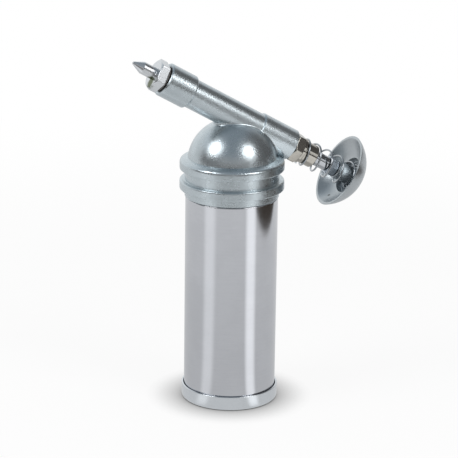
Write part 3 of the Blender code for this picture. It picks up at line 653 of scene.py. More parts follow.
class StageSizes(bpy.types.PropertyGroup):
    """Camera, light and floor. Directions are turned from +X but for the azimuth, and rises from level."""

    azimuth: angle("Azimuth", -19.0, "Camera's direction round the object, from -Y")
    elevation: angle("Elevation", 17.385, "Camera's height as an angle")
    distance: length("Distance", 1.13065, "Camera to the point it looks at")
    aim_height: length("Aim height", 0.085717, "Height of the point that the camera looks at")
    aim_side: length("Aim side", -0.001098, "That point's place across the view")
    roll: angle("Roll", 0.773, "Camera's turn about its own view")
    focal: length("Focal length", 0.18246, "Lens on a sensor 36 mm wide")
    floor: colour("Floor", (0.90, 0.90, 0.90), "Colour of the floor")
    beyond: colour("Beyond the table", (0.055, 0.045, 0.036), "Dark room beyond the table's edges")
    contact: length("Contact", 0.018, "Reach of the contact shadow")
    contact_depth: factor("Contact depth", 1.6, "Strength of the contact shadow")
    ambient: factor("Ambient", 0.65, "Even light from all round")
    room: factor("Room", 0.13, "Level of the dark room in metal")
    ceiling: factor("Ceiling", 0.17, "What the ceiling adds")
    ceiling_end: angle("Ceiling's end", -18.8, "Direction in which the ceiling ends")
    front: factor("Front", 0.34, "What the lit front of the room adds")
    window: factor("Window's level", 1.3, "Level of the low window in metal")
    window_turn: angle("Window", -52.8, "Direction of the low window")
    window_rise: angle("Window's height", 9.6, "Rise of the window's middle")
    window_pole: angle("Window's side", -152.0, "Direction square to the leaning window strip")
    window_lean: angle("Window's lean", 43.4, "Rise of that square direction")
    backdrop_turn: angle("Backdrop", 93.0, "Direction of the pale backdrop's middle")
    softbox: factor("Softbox", 3.4, "Level of the softboxes in metal")
    box_distance: length("Softbox distance", 1.0, "Softboxes to the point that they face")
    left_box: angle("Left softbox", -170.0, "Direction of the left softbox")
    left_rise: angle("Left softbox's rise", 42.5, "Rise of the left softbox")
    left_size: length("Left softbox's size", 0.52, "Width of the left softbox")
    right_box: angle("Right softbox", -56.0, "Direction of the right softbox")
    right_rise: angle("Right softbox's rise", 37.5, "Rise of the right softbox")
    right_size: length("Right softbox's size", 0.48, "Width of the right softbox")
    # Two streaks of painted light on the table, seen only in metal, where the softboxes would light it.
    left_root: point("Left root", (-0.010, -0.009, 0.0), "Floor point that the left streak runs from")
    left_light_streak: angle("Left streak", -162.9, "Direction of the table's left streak")
    left_spread: angle("Left spread", 26.0, "Angle beside the left streak at which it ends")
    left_falloff: factor("Left falloff", 3.0, "How soon the left streak fades beside its middle")
    left_gain: factor("Left gain", 0.28, "What the left streak adds to the table's level")
    right_root: point("Right root", (0.001, -0.0134, 0.0), "Floor point that the right streak runs from")
    right_light_streak: angle("Right streak", -58.9, "Direction of the table's right streak")
    right_spread: angle("Right spread", 18.0, "Angle beside the right streak at which it ends")
    right_falloff: factor("Right falloff", 1.2, "How soon the right streak fades beside its middle")
    right_gain: factor("Right gain", 0.55, "What the right streak adds to the table's level")
    front_edge: length("Front edge", 0.60, "Table's front edge from the object's axis")
    side_edge: length("Side edge", 0.298, "Table's dark right end from the object's axis")
    edge_turn: angle("Side edge's direction", -14.5, "Direction in which the dark end lies")
    side_width: length("Side width", 0.212, "Half the width of the dark end")
    # The table's level in metal: lower near the object, which is painted shade, and higher further off.
    table_near: factor("Table near", 0.68, "Level of the table near the object, in metal")
    table_rise: factor("Table's rise", 0.10, "What the table's level gains away from the object")


def build_tube(sizes, colours):
    """Steel tube with its shoulder and the rolled thread on its neck.

    The neck is pressed in by strength * depth/2 (1 - cos(2 pi height/pitch - angle)), with a strength that
    grows from nothing at both of its ends to 1.
    """
    angles = even_angles(sizes.sides)
    radius = tube_radius("reservoir_tube")
    inner = radius - sizes.wall
    neck = radius - sizes.neck_step
    edge = sizes.edge
    rows = round((TUBE_TOP - sizes.shoulder) / sizes.thread_pitch * THREAD_ROWS)
    heights = np.linspace(sizes.shoulder + edge, TUBE_TOP - edge, rows)
    from_end = np.minimum(heights - sizes.shoulder, TUBE_TOP - heights) / sizes.thread_pitch
    outer_rows = []
    inner_rows = []
    for height, strength in zip(heights, np.clip(from_end - sizes.thread_start, 0.0, 1.0)):
        wave = 0.5 - 0.5 * np.cos(2 * pi * height / sizes.thread_pitch - angles)
        groove = sizes.thread_depth * strength * wave
        outer_rows.append((neck - groove, height))
        inner_rows.append((neck - sizes.wall - groove, height))
    corners = [
        (radius, sizes.shoulder, edge),
        (radius, TUBE_LOW, edge / 2),
        (inner, TUBE_LOW, edge / 2),
        (inner, sizes.shoulder - sizes.wall, edge),
        *inner_rows,
        (neck - sizes.wall, TUBE_TOP, edge / 2),
        (neck, TUBE_TOP, edge / 2),
        *outer_rows[::-1],
        (neck, sizes.shoulder, edge / 2),
    ]
    mesh = turned("tube", corners, angles, upright)
    material = metal("satin_chrome", colours.tube, 0.10, spread=0.04, darker=0.95, waves=90.0, depth=8e-6,
                     grain=2500.0, drawn=(0.05, 0.05, 1.0))
    finished("tube", mesh, material, "reservoir", "chromed_tube", "reservoir_tube")


def build_cap(sizes, colours):
    """Pressed cap with its rounded foot and the air hole."""
    outer = tube_radius("base_cap")
    inner = outer - sizes.cap_wall
    corners = [
        (0.0, sizes.cap_floor),
        (inner, sizes.cap_floor, sizes.edge),
        (inner, CAP_TOP, sizes.cap_wall / 3),
        (outer, CAP_TOP, sizes.cap_wall / 2),
        (outer, 0.0, sizes.cap_edge),
        (0.0, 0.0),
    ]
    mesh = turned("cap", corners, even_angles(sizes.sides), upright, closed=False)

    def at_vent(points):
        return points + np.array([0.0, sizes.vent_offset, 0.0])

    hole = plain(sizes.vent, -MM, sizes.cap_floor + MM)
    vent = turned("vent", hole, even_angles(VENT_SIDES), at_vent, closed=False)
    mesh = cut_and_joined(mesh, [("DIFFERENCE", vent)])
    material = metal("cap_zinc_plate", colours.cap, 0.22, spread=0.06, darker=0.95, waves=330.0, depth=6e-6)
    finished("cap", mesh, material, "reservoir", "plated_cap", "base_cap")


def barrel_radius(station, sizes):
    """Radius of the barrel's cylinder, which grows by a short cone at the rear step."""
    step = sizes.rear - sizes.fore
    return np.interp(station, [sizes.rear_step - step, sizes.rear_step], [sizes.fore, sizes.rear])


def fillet_strip(sizes, sides=160, across=8):
    """Ring-shaped wedge whose outer face is the fillet between the dome and the barrel.

    A ball of the fillet's radius rolls in the crease. Its centre is at (dome + fillet) from the dome's centre
    and at q = (barrel + fillet) from the barrel's axis, so with the dome's centre at (a, 0, s0) in the
    barrel's directions, its turn f round the barrel at a station s is given by
    cos f = (q^2 + a^2 + (s - s0)^2 - (dome + fillet)^2) / (2 a q). The face is the ball's arc from the barrel
    to the dome, and the wedge's edge lies inside both of them.
    """
    below = CROSSING[2] - sizes.dome_height
    dome_down = below * -DOWN[2]
    dome_station = below * -ALONG[2]
    outer = sizes.dome + sizes.fillet - SINK
    q_fore = sizes.fore + sizes.fillet - SINK
    q_rear = sizes.rear + sizes.fillet - SINK
    low = dome_station - sqrt(outer ** 2 - (dome_down - q_fore) ** 2)
    high = dome_station + sqrt(outer ** 2 - (dome_down - q_rear) ** 2)
    turn = even_angles(sides)
    station = (low + high) / 2 + (high - low) / 2 * np.cos(turn)
    q = barrel_radius(station, sizes) + sizes.fillet - SINK
    cosine = (q ** 2 + dome_down ** 2 + (station - dome_station) ** 2 - outer ** 2) / (2 * dome_down * q)
    round_barrel = np.arccos(np.clip(cosine, -1.0, 1.0)) * np.sign(np.sin(turn))
    centre = np.stack([q * np.cos(round_barrel), q * np.sin(round_barrel), station], axis=-1)
    to_barrel = np.stack([-np.cos(round_barrel), -np.sin(round_barrel), 0 * station], axis=-1)
    to_dome = np.array([dome_down, 0.0, dome_station]) - centre
    to_dome /= np.linalg.norm(to_dome, axis=1, keepdims=True)
    opening = np.arccos(np.clip((to_barrel * to_dome).sum(axis=1), -1.0, 1.0))[:, None]
    rows = []
    for share in np.linspace(0.0, 1.0, across + 1):
        direction = np.sin((1 - share) * opening) * to_barrel + np.sin(share * opening) * to_dome
        rows.append(centre + sizes.fillet * direction / np.sin(opening))
    inward = to_barrel + to_dome
    inward /= np.linalg.norm(inward, axis=1, keepdims=True)
    rows.append(centre + sizes.fillet * inward * (1 / np.cos(opening / 2) + BURIED))
    return skin("fillet", on_barrel(np.stack(rows)), True)


def build_head(sizes, colours):
    """Bell and barrel as one casting, with the fillet between them, the threaded socket and the bores."""
    angles = even_angles(sizes.sides)
    low_bead = HEAD_LOW + sizes.lip
    high_bead = sizes.bead_top - sizes.bead_width
    ledge_top = sizes.bead_top + sizes.ledge_rise
    ledge_radius = sqrt(sizes.dome ** 2 - (ledge_top - sizes.dome_height) ** 2)
    rise = asin((ledge_top - sizes.dome_height) / sizes.dome)
    edge = sizes.bead_edge
    bell = turned("bell", [
        (0.0, sizes.dome_height + sizes.dome),
        *arc(sizes.dome_height, sizes.dome, pi / 2, rise, DOME_ROWS)[1:-1],
        (ledge_radius, ledge_top),
        (sizes.bead, sizes.bead_top, sizes.upper_edge),
        (sizes.bead, high_bead, edge / 2),
        (sizes.skirt, high_bead, edge / 3),
        (sizes.skirt, low_bead + sizes.bead_width, edge / 3),
        (sizes.bead, low_bead + sizes.bead_width, edge),
        (sizes.bead, low_bead, edge / 2),
        (sizes.skirt, low_bead, edge / 3),
        (sizes.skirt, HEAD_LOW, edge / 4),
        (0.0, HEAD_LOW),
    ], angles, upright, closed=False)
    boss_end = sizes.boss_face + sizes.boss_length
    step = sizes.rear - sizes.fore
    chamfer = sizes.chamfer
    barrel = turned("barrel", [
        (0.0, sizes.boss_face),
        (sizes.boss - chamfer, sizes.boss_face, chamfer / 3),
        (sizes.boss, sizes.boss_face + chamfer, chamfer / 3),
        (sizes.boss, boss_end - chamfer, chamfer / 3),
        (sizes.boss - chamfer, boss_end, chamfer / 3),
        (sizes.fore, boss_end, chamfer / 2),
        (sizes.fore, sizes.rear_step - step, chamfer / 3),
        (sizes.rear, sizes.rear_step, chamfer / 3),
        (sizes.rear, BARREL_REAR, chamfer / 2),
        (0.0, BARREL_REAR),
    ], even_angles(sizes.barrel_sides), on_barrel, closed=False)
    roof = sizes.cavity_top - sizes.socket_top
    quarter = np.linspace(0.0, pi / 2, CAVITY_ROWS)[1:]
    cavity = turned("cavity", [
        (0.0, sizes.cavity_top),
        *zip(sizes.cavity * np.sin(quarter), sizes.socket_top + roof * np.cos(quarter)),
        (sizes.socket, sizes.socket_top),
        (sizes.socket, HEAD_LOW - MM),
        (0.0, HEAD_LOW - MM),
    ], angles, upright, closed=False)
    bore = turned("bore", bore_corners(sizes), even_angles(BORE_SIDES), on_barrel, closed=False)
    hole = plain(sizes.port, sizes.cavity_top - PORT_OVERCUT, CROSSING[2] - PORT_OVERCUT)
    port = turned("port", hole, even_angles(PORT_SIDES), upright, closed=False)
    mesh = cut_and_joined(bell, [
        ("UNION", barrel),
        ("UNION", fillet_strip(sizes)),
        ("DIFFERENCE", cavity),
        ("DIFFERENCE", bore),
        ("DIFFERENCE", port),
    ])
    material = metal("casting_zinc_plate", colours.casting, 0.28, spread=0.12, waves=1800.0, depth=7e-5)
    finished("head_casting", mesh, material, "head", "plated_zinc_casting", "pump_head")


def bore_corners(sizes):
    """Profile of the stepped bore, from the boss's face to the barrel's rear face."""
    shank_end = stations("nozzle")[1]
    thread = radii("nozzle", shank_end, MM)[1] + SEAT
    ball_low, ball_high = stations("valve_ball")
    chamber = (ball_high - ball_low) / 2 + sizes.ball_clearance
    cone_end = ball_high + (chamber - sizes.orifice) * sizes.cone_past_ball
    cylinder = radii("plunger")[1] + RUNNING
    cylinder_end = stations("plunger")[0] - joint("plunger_slide")["range_m"][1] - sizes.end_relief
    packing = radii("gland_packing")[1] + SEAT
    shoulder = stations("gland_washer")[0] - SEAT
    return [
        (0.0, sizes.boss_face - MM),
        (thread, sizes.boss_face - MM),
        (thread, shank_end + sizes.relief),
        (chamber, shank_end + sizes.relief),
        (chamber, cone_end - (chamber - sizes.orifice)),
        (sizes.orifice, cone_end),
        (sizes.orifice, cylinder_end),
        (cylinder, cylinder_end),
        (cylinder, shoulder),
        (packing, shoulder),
        (packing, BARREL_REAR + MM),
        (0.0, BARREL_REAR + MM),
    ]


def chamfered(radius, flats, low, high, sizes, both=True):
    """Corners of a hexagonal bar with that radius over the angles, chamfered at both ends or the low one."""
    face = flats / 2 - sizes.chamfer_inset
    depth = (radius - face) * tan(sizes.chamfer_angle)
    edge = sizes.edge
    high_end = [(radius, high - depth, edge), (face, high, edge)] if both else [(radius, high, edge)]
    return [(face, low, edge), (radius, low + depth, edge), *high_end]


def build_nozzle(sizes, colours):
    """Pointed nozzle turned from hexagonal bar: cone, pin, hexagon and shank with a bore through it."""
    flats = sizes.nozzle_flats
    edge = sizes.edge
    angles, radius = hexagon(sizes.nozzle_turn, flats, sizes.corner)
    front, rear = stations("nozzle")
    hexagon_rear = rear - sizes.nozzle_shank
    hexagon_front = hexagon_rear - sizes.nozzle_hexagon
    feed, shank = radii("nozzle", rear, MM)
    outlet = sizes.tip / 2
    corners = [
        (outlet, front, edge / 2),
        (sizes.tip, front, edge),
        (sizes.pin, front + sizes.cone, edge),
        (sizes.pin, hexagon_front, edge),
        *chamfered(radius, flats, hexagon_front, hexagon_rear, sizes, both=False),
        (shank, hexagon_rear, edge),
        (shank, rear, edge),
        (feed, rear, edge),
        (feed, hexagon_front, edge),
        (outlet, hexagon_front - feed, edge),
    ]
    mesh = turned("nozzle_point", corners, angles, on_barrel)
    # Painted shadow of the pin: a dark olive spot on the hexagon's front face, below the pin's root.
    below_pin = on_barrel(np.array([sizes.pin_shadow_down, sizes.pin_shadow_side, hexagon_front]))
    material = metal("nozzle_zinc_plate", colours.nozzle, 0.26, darker=0.92, depth=6e-6,
                     painted_shade_spot=(below_pin, sizes.pin_shadow_reach, sizes.pin_shadow_reach / 2), painted_shade=tuple(colours.painted_shade))
    finished("nozzle_point", mesh, material, "head", "zinc_plated_steel", "nozzle")


def build_gland(sizes, colours):
    """Gland nut: hidden shank, chamfered hexagon, round collar that seats the spring, and spigot."""
    flats = sizes.gland_flats
    edge = sizes.edge
    angles, radius = hexagon(sizes.gland_turn, flats, sizes.corner)
    collar = flats / 2 - sizes.collar_inset
    front, collar_rear = stations("gland_nut", flats / 2 - MM / 2)
    hexagon_rear = front + sizes.gland_hexagon
    rear_corner = hexagon_rear - (radius - collar) * tan(sizes.chamfer_angle)
    low, high = stations("gland_nut")
    bore = radii("gland_nut")[0]
    shank = radii("gland_nut", low, MM)[1]
    spigot = radii("gland_nut", high, 2 * MM)[1]
    corners = [
        (bore, low, edge),
        (shank, low, edge),
        (shank, front, edge),
        *chamfered(radius, flats, front, rear_corner, sizes, both=False),
        (collar, hexagon_rear, edge / 2),
        (collar, collar_rear, 2 * edge),
        (spigot, collar_rear, edge),
        (spigot, high, 2 * edge),
        (bore, high, edge),
    ]
    mesh = turned("gland_nut_turned", corners, angles, on_barrel)
    material = bright_steel("gland_bright_steel", colours.gland)
    finished("gland_nut_turned", mesh, material, "head", "bright_steel", "gland_nut")


def build_lock_nut(sizes, colours):
    """Thin hexagonal nut that locks the knob on the rod's thread."""
    low, high = stations("lock_nut")
    bore, corner = radii("lock_nut")
    flats = corner * sqrt(3)
    angles, radius = hexagon(sizes.lock_turn, flats, sizes.corner)
    corners = [
        (bore, low, sizes.edge),
        *chamfered(radius, flats, low, high, sizes),
        (bore, high, sizes.edge),
    ]
    mesh = turned("lock_nut_hexagon", corners, angles, on_barrel)
    material = metal("blue_zinc_plate", colours.lock, 0.22, depth=1e-5)
    finished("lock_nut_hexagon", mesh, material, "plunger", "zinc_plated_steel", "lock_nut")


def build_rod(sizes, colours):
    """Plunger: grooved piston, rod and threaded end, turned in one."""
    edge = sizes.edge
    low, high = stations("plunger")
    piston = radii("plunger")[1]
    seal_low, seal_high = stations("plunger_seal")
    groove = radii("plunger_seal")[0] - SEAT
    piston_end = stations("plunger", piston - NEAR)[1]
    rod = radii("plunger", piston_end, NEAR / 2)[0]
    shoulder = stations("plunger", rod - NEAR, rod + NEAR)[1]
    thread = radii("plunger", high, MM)[1]
    corners = [
        (0.0, low),
        (piston, low, edge),
        (piston, seal_low - SEAT, edge / 2),
        (groove, seal_low - SEAT, edge / 2),
        (groove, seal_high + SEAT, edge / 2),
        (piston, seal_high + SEAT, edge / 2),
        (piston, piston_end, edge),
        (rod, piston_end, edge),
        (rod, shoulder, edge),
        (thread, shoulder, edge),
        (thread, high, edge),
        (0.0, high),
    ]
    mesh = turned("plunger_rod", corners, even_angles(ROD_SIDES), on_barrel, closed=False)
    material = bright_steel("rod_bright_steel", colours.rod)
    finished("plunger_rod", mesh, material, "plunger", "bright_steel", "plunger")


def build_coils(sizes, colours):
    """Return spring and valve spring, wound as they stand, each on its own mesh."""
    material = bright_steel("spring_wire_steel", colours.wire)
    mesh = coil("return_coil", "return_spring", sizes.coil_turns, sizes.coil_start, sizes)
    piece = finished("return_coil", mesh, material, "head", "bright_steel", "return_spring")
    low, high = stations("return_spring")
    stroke = joint("plunger_slide")["range_m"][1]
    (high - low - stroke) / (high - low)
    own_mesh(piece)
    mesh = coil("valve_coil", "valve_spring", sizes.valve_turns, 0.0, sizes, around=10, along=40)
    piece = finished("valve_coil", mesh, material, "head", "bright_steel", "valve_spring")
    low, high = stations("valve_spring")
    lift = joint("valve_lift")["range_m"][1]
    (high - low - lift) / (high - low)
    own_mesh(piece)


def build_knob(sizes, colours):
    """Cast mushroom knob: domed back, rolled rim, dished front, and a well round its hub.

    The back is an arc through the rim and the apex. From the rim to the well the dish is a cone, bowed by
    4 sag share (1 - share) where share is the part of the way.
    """
    low, apex = stations("palm_knob")
    radius = radii("palm_knob")[1]
    bore = radii("lock_nut")[0]
    hub = radii("palm_knob", low, MM)[1]
    rim = apex - sizes.depth
    sphere = (radius ** 2 + sizes.depth ** 2) / (2 * sizes.depth)
    centre = apex - sphere
    floor = centre + sqrt(sphere ** 2 - sizes.well ** 2) - sizes.wall
    dish_outer = radius - sizes.rim
    hole_end = apex - sizes.tip_wall

    def dish(share):
        return (dish_outer + (sizes.well - dish_outer) * share,
                rim + sizes.dish * share + 4 * sizes.sag * share * (1 - share))

    corners = [
        (0.0, apex),
        *arc(centre, sphere, pi / 2, asin((rim - centre) / sphere), KNOB_ROWS)[1:-1],
        (radius, rim, sizes.rim / 2),
        (dish_outer, rim, sizes.rim / 2),
        *zip(*dish(np.linspace(0.0, 1.0, DISH_ROWS)[1:-1])),
        (sizes.well, rim + sizes.dish, sizes.wall / 2),
        (sizes.well, floor, sizes.wall / 2),
        (hub, floor, sizes.wall / 2),
        (hub, low, sizes.wall / 2),
        (bore, low, sizes.wall / 4),
        (bore, hole_end),
        (0.0, hole_end),
    ]
    mesh = turned("knob_casting", corners, even_angles(KNOB_SIDES), on_barrel, closed=False)
    # Painted shade: the cast pit is only a dark spot in the dish's colour.
    out, height = dish(sizes.painted_pit_place)
    painted_pit = on_barrel(np.array([out * cos(sizes.painted_pit_turn), out * sin(sizes.painted_pit_turn), height]))
    material = metal("knob_zinc_plate", colours.knob, 0.32, spread=0.10, darker=0.90, waves=900.0, depth=3e-5,
                     painted_shade_spot=(painted_pit, sizes.painted_pit, sizes.painted_pit / 2), painted_shade=tuple(colours.painted_pit))
    finished("knob_casting", mesh, material, "plunger", "plated_zinc_casting", "palm_knob")


def repaint(material, *nodes):
    """Give CAD nodes that show as they are a better material."""
    for name in nodes:
        item = frame["nodes"][name]
        item.data.materials.clear()
        item.data.materials.append(material)


def build_inner(colours):
    """Finishes of the pieces inside: seals, packing, washers, valve ball and follower."""
    repaint(rubber("seal_rubber", colours.rubber), "head_gasket", "nozzle_gasket", "gland_packing",
            "plunger_seal", "follower_cup")
    plate = metal("pressed_steel_plate", colours.plate, 0.35, spread=0.10, darker=0.85, waves=500.0,
                  depth=3e-5)
    repaint(plate, "follower_back_plate", "follower_top_plate", "follower_rivet")
    repaint(bright_steel("ball_steel", colours.rod), "valve_ball")
    repaint(metal("washer_zinc_plate", colours.nozzle, 0.28), "gland_washer")


def level(angle_across):
    """Unit vector across the ground, turned by an angle from +X."""
    return (cos(angle_across), sin(angle_across), 0.0)


def aimed(angle_across, rise):
    """Unit vector turned by an angle from +X, and raised by another from the ground."""
    return (cos(rise) * cos(angle_across), cos(rise) * sin(angle_across), sin(rise))


# Soft edges of what metal sees round the object: the two values between which each of them passes
BACKDROP_SIDE = (0.28, 0.52)
BACKDROP_TOP = (0.60, 0.98)
BACKDROP_CORE = (0.60, 0.95)
CORE_LEAST = 0.75            # level of the backdrop's sides, where its core is 1
FRONT_SIDE = (0.60, 0.95)
FRONT_FOOT = (0.0, 0.15)
FRONT_TOP = (0.30, 0.60)
CEILING_FOOT = (0.25, 0.60)
CEILING_SIDE = (0.30, 0.75)
WINDOW_REACH = (cos(radians(14.0)), cos(radians(11.0)))
STRIP_PLACE = 0.035          # middle of the window's strip, along the direction square to it
STRIP_SIDE = (0.03, 0.075)
ROOM_TINT = (1.0, 0.98, 0.98)
CEILING_TINT = (0.87, 1.0, 1.12)
PALE_TINT = (0.97, 0.99, 1.0)
WHITE = (1.0, 1.0, 1.0)


def build_world(sizes):
    """White to the camera. Metal sees a pale backdrop in a dark room, and matt surfaces an even light."""
    world = bpy.data.worlds.new("studio")
    bpy.context.scene.world = world
    finish = Finish(world)
    direction = finish.node("ShaderNodeTexCoord", None, None, 0)
    height = finish.node("ShaderNodeSeparateXYZ", None, {0: direction}, 2)
    behind = finish.dot(direction, level(sizes.backdrop_turn))
    core = CORE_LEAST + (1.0 - CORE_LEAST) * behind.step(*BACKDROP_CORE)
    backdrop = behind.step(*BACKDROP_SIDE) * (1.0 - height.step(*BACKDROP_TOP)) * core
    front = finish.dot(direction, level(sizes.azimuth - pi / 2))
    lit_front = front.step(*FRONT_SIDE) * height.step(*FRONT_FOOT) * (1.0 - height.step(*FRONT_TOP))
    middle = aimed(sizes.window_turn, sizes.window_rise)
    across = abs(finish.dot(direction, aimed(sizes.window_pole, sizes.window_lean)) - STRIP_PLACE)
    window = finish.dot(direction, middle).step(*WINDOW_REACH) * (1.0 - across.step(*STRIP_SIDE))
    right = finish.dot(direction, level(sizes.ceiling_end))
    ceiling = height.step(*CEILING_FOOT) * (1.0 - right.step(*CEILING_SIDE))
    room = sizes.room + sizes.ceiling * ceiling + sizes.front * lit_front
    shade = finish.mixed(ceiling, ROOM_TINT, CEILING_TINT)
    shade = finish.mixed(backdrop.math("MAXIMUM", backdrop, window), shade, PALE_TINT)
    camera, seen = finish.rays()
    mirrored = room + (1.0 - room) * backdrop + sizes.window * window
    strength = camera + (1.0 - camera) * (seen * mirrored + (1.0 - seen) * sizes.ambient)
    tint = finish.mixed(seen * (1.0 - camera), WHITE, shade)
    background = finish.node("ShaderNodeBackground", None, {"Color": tint, "Strength": strength})
    finish.node("ShaderNodeOutputWorld", None, {"Surface": background})


def painted_light_streak(finish, place, root, turn, spread, falloff, gain):
    """Signal of a streak of painted light on the table: its gain along a line out of its root, and 0 at the
    spread.
    """
    outward = finish.vector("NORMALIZE", finish.vector("SUBTRACT", place, tuple(root)))
    return gain * finish.dot(outward, level(turn)).step(cos(spread), 1.0) ** falloff


# Floor's rings and how far it lies under the object, then the soft edges of the table that metal sees
FLOOR_RINGS = (0.0, 0.1, 0.3, 1.0, 4.0)
FLOOR_DROP = 0.1 * MM
TABLE_BLUR = 0.02
END_BLUR = 0.004
STREAK_ROOT = (0.022, 0.034)  # distances from the axis over which the streaks of painted light begin
TABLE_RISE = (0.05, 0.40)    # distances over which the table grows paler, out of the painted shade near the object
TABLE_TINT = (0.98, 0.99, 1.0)
GLOW_NEAR = 0.85             # share of pure white in the floor near the object, where the rest is its paint
GLOW_RISE = (0.20, 0.55)     # distances over which that share grows to 1


def build_floor(sizes):
    """White floor with the object's contact shadow, which metal sees as a lit table in a dark room.

    On the table two streaks of painted light run outwards under the softboxes, and its level rises away from
    the object, which is painted shade near it.
    """
    radius = np.array(FLOOR_RINGS)[:, None]
    turn = even_angles(FLOOR_SIDES)
    points = np.stack([radius * np.cos(turn), radius * np.sin(turn), 0 * radius * turn - FLOOR_DROP], axis=-1)
    mesh = skin("floor", points, False)
    finish = Finish(bpy.data.materials.new("floor_white"))
    place = finish.place()
    distance = finish.vector("LENGTH", place, output=1)
    towards = finish.dot(place, level(sizes.azimuth - pi / 2))
    aside = finish.dot(place, level(sizes.edge_turn))
    across = abs(finish.dot(place, level(sizes.edge_turn + pi / 2)))
    dark_end = aside.edge(sizes.side_edge, END_BLUR) * (1.0 - across.edge(sizes.side_width, TABLE_BLUR))
    table = (1.0 - towards.edge(sizes.front_edge, TABLE_BLUR)) * (1.0 - dark_end)
    # Streaks of painted light on the table, seen only in metal.
    left = painted_light_streak(finish, place, sizes.left_root, sizes.left_light_streak, sizes.left_spread, sizes.left_falloff,
                  sizes.left_gain)
    right = painted_light_streak(finish, place, sizes.right_root, sizes.right_light_streak, sizes.right_spread,
                   sizes.right_falloff, sizes.right_gain)
    painted_streaks = (left + right) * distance.step(*STREAK_ROOT)
    # Painted shade near the object: the table's level in metal is lower there and rises further off.
    lit = sizes.table_near + sizes.table_rise * distance.step(*TABLE_RISE) + painted_streaks
    camera, seen = finish.rays()
    mirrored = (1.0 - camera) * seen * (table * lit + 1.0 - table)
    contact = finish.node("ShaderNodeAmbientOcclusion", {"samples": 16}, {"Distance": sizes.contact}, 1)
    shade = finish.mixed(table, tuple(sizes.beyond), TABLE_TINT)
    glow = finish.node("ShaderNodeEmission", None, {
        "Color": finish.mixed(camera, shade, WHITE),
        "Strength": camera * contact ** sizes.contact_depth + mirrored,
    })
    paint = finish.node("ShaderNodeBsdfDiffuse", None, {"Color": tuple(sizes.floor)})
    share = GLOW_NEAR + (1.0 - GLOW_NEAR) * distance.step(*GLOW_RISE)
    share = seen * (1.0 - camera) + camera * share
    blend = finish.node("ShaderNodeMixShader", None, {0: share, 1: paint, 2: glow})
    finish.node("ShaderNodeOutputMaterial", None, {"Surface": blend})
    floor = bpy.data.objects.new("floor", mesh)
    mesh.materials.append(finish.owner)
    bpy.context.collection.objects.link(floor)


def build_softbox(name, turn, rise, size, sizes):
    """Round softbox that faces the object from a direction, and shows in metal at about its level."""
    lamp = bpy.data.lights.new(name, "AREA")
    lamp.shape = "DISK"
    lamp.size = size
    lamp.energy = sizes.softbox * pi * size ** 2
    holder = bpy.data.objects.new(name, lamp)
    bpy.context.collection.objects.link(holder)
    place = AIM + sizes.box_distance * Vector(aimed(turn, rise))
    facing = AIM - place
    holder.matrix_world = Matrix.Translation(place) @ facing.to_track_quat("-Z", "Y").to_matrix().to_4x4()
    holder.visible_camera = False


def build_camera(sizes):
    """Camera at the photograph's angle, turned a little about its own view."""
    target = Vector((0.0, 0.0, sizes.aim_height)) + Vector(level(sizes.azimuth)) * sizes.aim_side
    back = Vector(aimed(sizes.azimuth - pi / 2, sizes.elevation))
    across = Vector((0.0, 0.0, 1.0)).cross(back).normalized()
    turn = Matrix((across, back.cross(across), back)).transposed().to_4x4()
    camera = bpy.data.cameras.new("camera")
    camera.sensor_width = 36.0
    camera.lens = sizes.focal / MM
    holder = bpy.data.objects.new("camera", camera)
    bpy.context.collection.objects.link(holder)
    place = Matrix.Translation(target + back * sizes.distance)
    holder.matrix_world = place @ turn @ Matrix.Rotation(sizes.roll, 4, "Z")
    bpy.context.scene.camera = holder


class APPLICATOR_OT_tube(bpy.types.Operator):
    """Build the reservoir tube"""
    bl_idname = "applicator.tube"
    bl_label = "Tube"

    def execute(self, context):
        build_tube(context.scene.applicator_tube, context.scene.applicator_colours)
        return {"FINISHED"}


class APPLICATOR_OT_cap(bpy.types.Operator):
    """Build the base cap"""
    bl_idname = "applicator.cap"
    bl_label = "Base cap"

    def execute(self, context):
        build_cap(context.scene.applicator_tube, context.scene.applicator_colours)
        return {"FINISHED"}


class APPLICATOR_OT_head(bpy.types.Operator):
    """Build the cast pump head"""
    bl_idname = "applicator.head"
    bl_label = "Pump head"

    def execute(self, context):
        build_head(context.scene.applicator_head, context.scene.applicator_colours)
        return {"FINISHED"}


class APPLICATOR_OT_nozzle(bpy.types.Operator):
    """Build the pointed nozzle"""
    bl_idname = "applicator.nozzle"
    bl_label = "Nozzle"

    def execute(self, context):
        build_nozzle(context.scene.applicator_fittings, context.scene.applicator_colours)
        return {"FINISHED"}


class APPLICATOR_OT_gland(bpy.types.Operator):
    """Build the gland nut"""
    bl_idname = "applicator.gland"
    bl_label = "Gland nut"

    def execute(self, context):
        build_gland(context.scene.applicator_fittings, context.scene.applicator_colours)
        return {"FINISHED"}


class APPLICATOR_OT_rod(bpy.types.Operator):
    """Build the plunger's rod and piston"""
    bl_idname = "applicator.rod"
    bl_label = "Plunger"

    def execute(self, context):
        build_rod(context.scene.applicator_fittings, context.scene.applicator_colours)
        return {"FINISHED"}


class APPLICATOR_OT_coils(bpy.types.Operator):
    """Wind the return spring and the valve spring"""
    bl_idname = "applicator.coils"
    bl_label = "Springs"

    def execute(self, context):
        build_coils(context.scene.applicator_fittings, context.scene.applicator_colours)
        return {"FINISHED"}


class APPLICATOR_OT_lock_nut(bpy.types.Operator):
    """Build the lock nut"""
    bl_idname = "applicator.lock_nut"
    bl_label = "Lock nut"

    def execute(self, context):
        build_lock_nut(context.scene.applicator_fittings, context.scene.applicator_colours)
        return {"FINISHED"}


class APPLICATOR_OT_knob(bpy.types.Operator):
    """Build the palm knob"""
    bl_idname = "applicator.knob"
    bl_label = "Palm knob"

    def execute(self, context):
        build_knob(context.scene.applicator_knob, context.scene.applicator_colours)
        return {"FINISHED"}


class APPLICATOR_OT_inner(bpy.types.Operator):
    """Finish the pieces inside"""
    bl_idname = "applicator.inner"
    bl_label = "Inner pieces"

    def execute(self, context):
        build_inner(context.scene.applicator_colours)
        return {"FINISHED"}


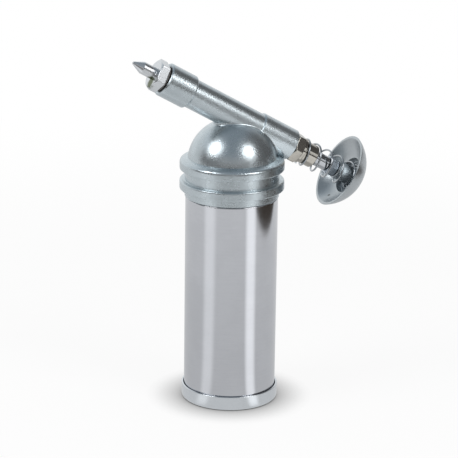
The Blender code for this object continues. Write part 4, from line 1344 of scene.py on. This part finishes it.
class APPLICATOR_OT_stage(bpy.types.Operator):
    """Set up the floor, the light and the camera"""
    bl_idname = "applicator.stage"
    bl_label = "Stage"

    def execute(self, context):
        sizes = context.scene.applicator_stage
        context.scene.view_settings.view_transform = "Standard"
        build_world(sizes)
        build_floor(sizes)
        build_softbox("left_softbox", sizes.left_box, sizes.left_rise, sizes.left_size, sizes)
        build_softbox("right_softbox", sizes.right_box, sizes.right_rise, sizes.right_size, sizes)
        build_camera(sizes)
        return {"FINISHED"}


GROUPS = {
    "applicator_tube": TubeSizes,
    "applicator_head": HeadSizes,
    "applicator_fittings": FittingSizes,
    "applicator_knob": KnobSizes,
    "applicator_colours": Colours,
    "applicator_stage": StageSizes,
}
OPERATORS = (
    APPLICATOR_OT_tube, APPLICATOR_OT_cap, APPLICATOR_OT_head, APPLICATOR_OT_nozzle, APPLICATOR_OT_gland,
    APPLICATOR_OT_rod, APPLICATOR_OT_coils, APPLICATOR_OT_lock_nut, APPLICATOR_OT_knob, APPLICATOR_OT_inner,
    APPLICATOR_OT_stage,
)


class APPLICATOR_PT_panel(bpy.types.Panel):
    """Sidebar panel with a button for each piece and the sizes under it"""
    bl_idname = "APPLICATOR_PT_panel"
    bl_label = "Grease applicator"
    bl_space_type = "VIEW_3D"
    bl_region_type = "UI"
    bl_category = "Applicator"

    def draw(self, context):
        for operator in OPERATORS:
            self.layout.operator(operator.bl_idname)
        for name, group in GROUPS.items():
            box = self.layout.box()
            for prop in group.__annotations__:
                box.prop(getattr(context.scene, name), prop)


def register():
    """Register the classes and hang the property groups on the scene."""
    for item in (*GROUPS.values(), *OPERATORS, APPLICATOR_PT_panel):
        bpy.utils.register_class(item)
    for name, group in GROUPS.items():
        setattr(bpy.types.Scene, name, bpy.props.PointerProperty(type=group))


def unregister():
    """Take the property groups off the scene and unregister the classes."""
    for name in GROUPS:
        delattr(bpy.types.Scene, name)
    for item in reversed((*GROUPS.values(), *OPERATORS, APPLICATOR_PT_panel)):
        bpy.utils.unregister_class(item)


def main():
    """Register, and run the operators in order."""
    register()
    for operator in OPERATORS:
        group, name = operator.bl_idname.split(".")
        getattr(getattr(bpy.ops, group), name)()


if __name__ == "__main__":
    main()
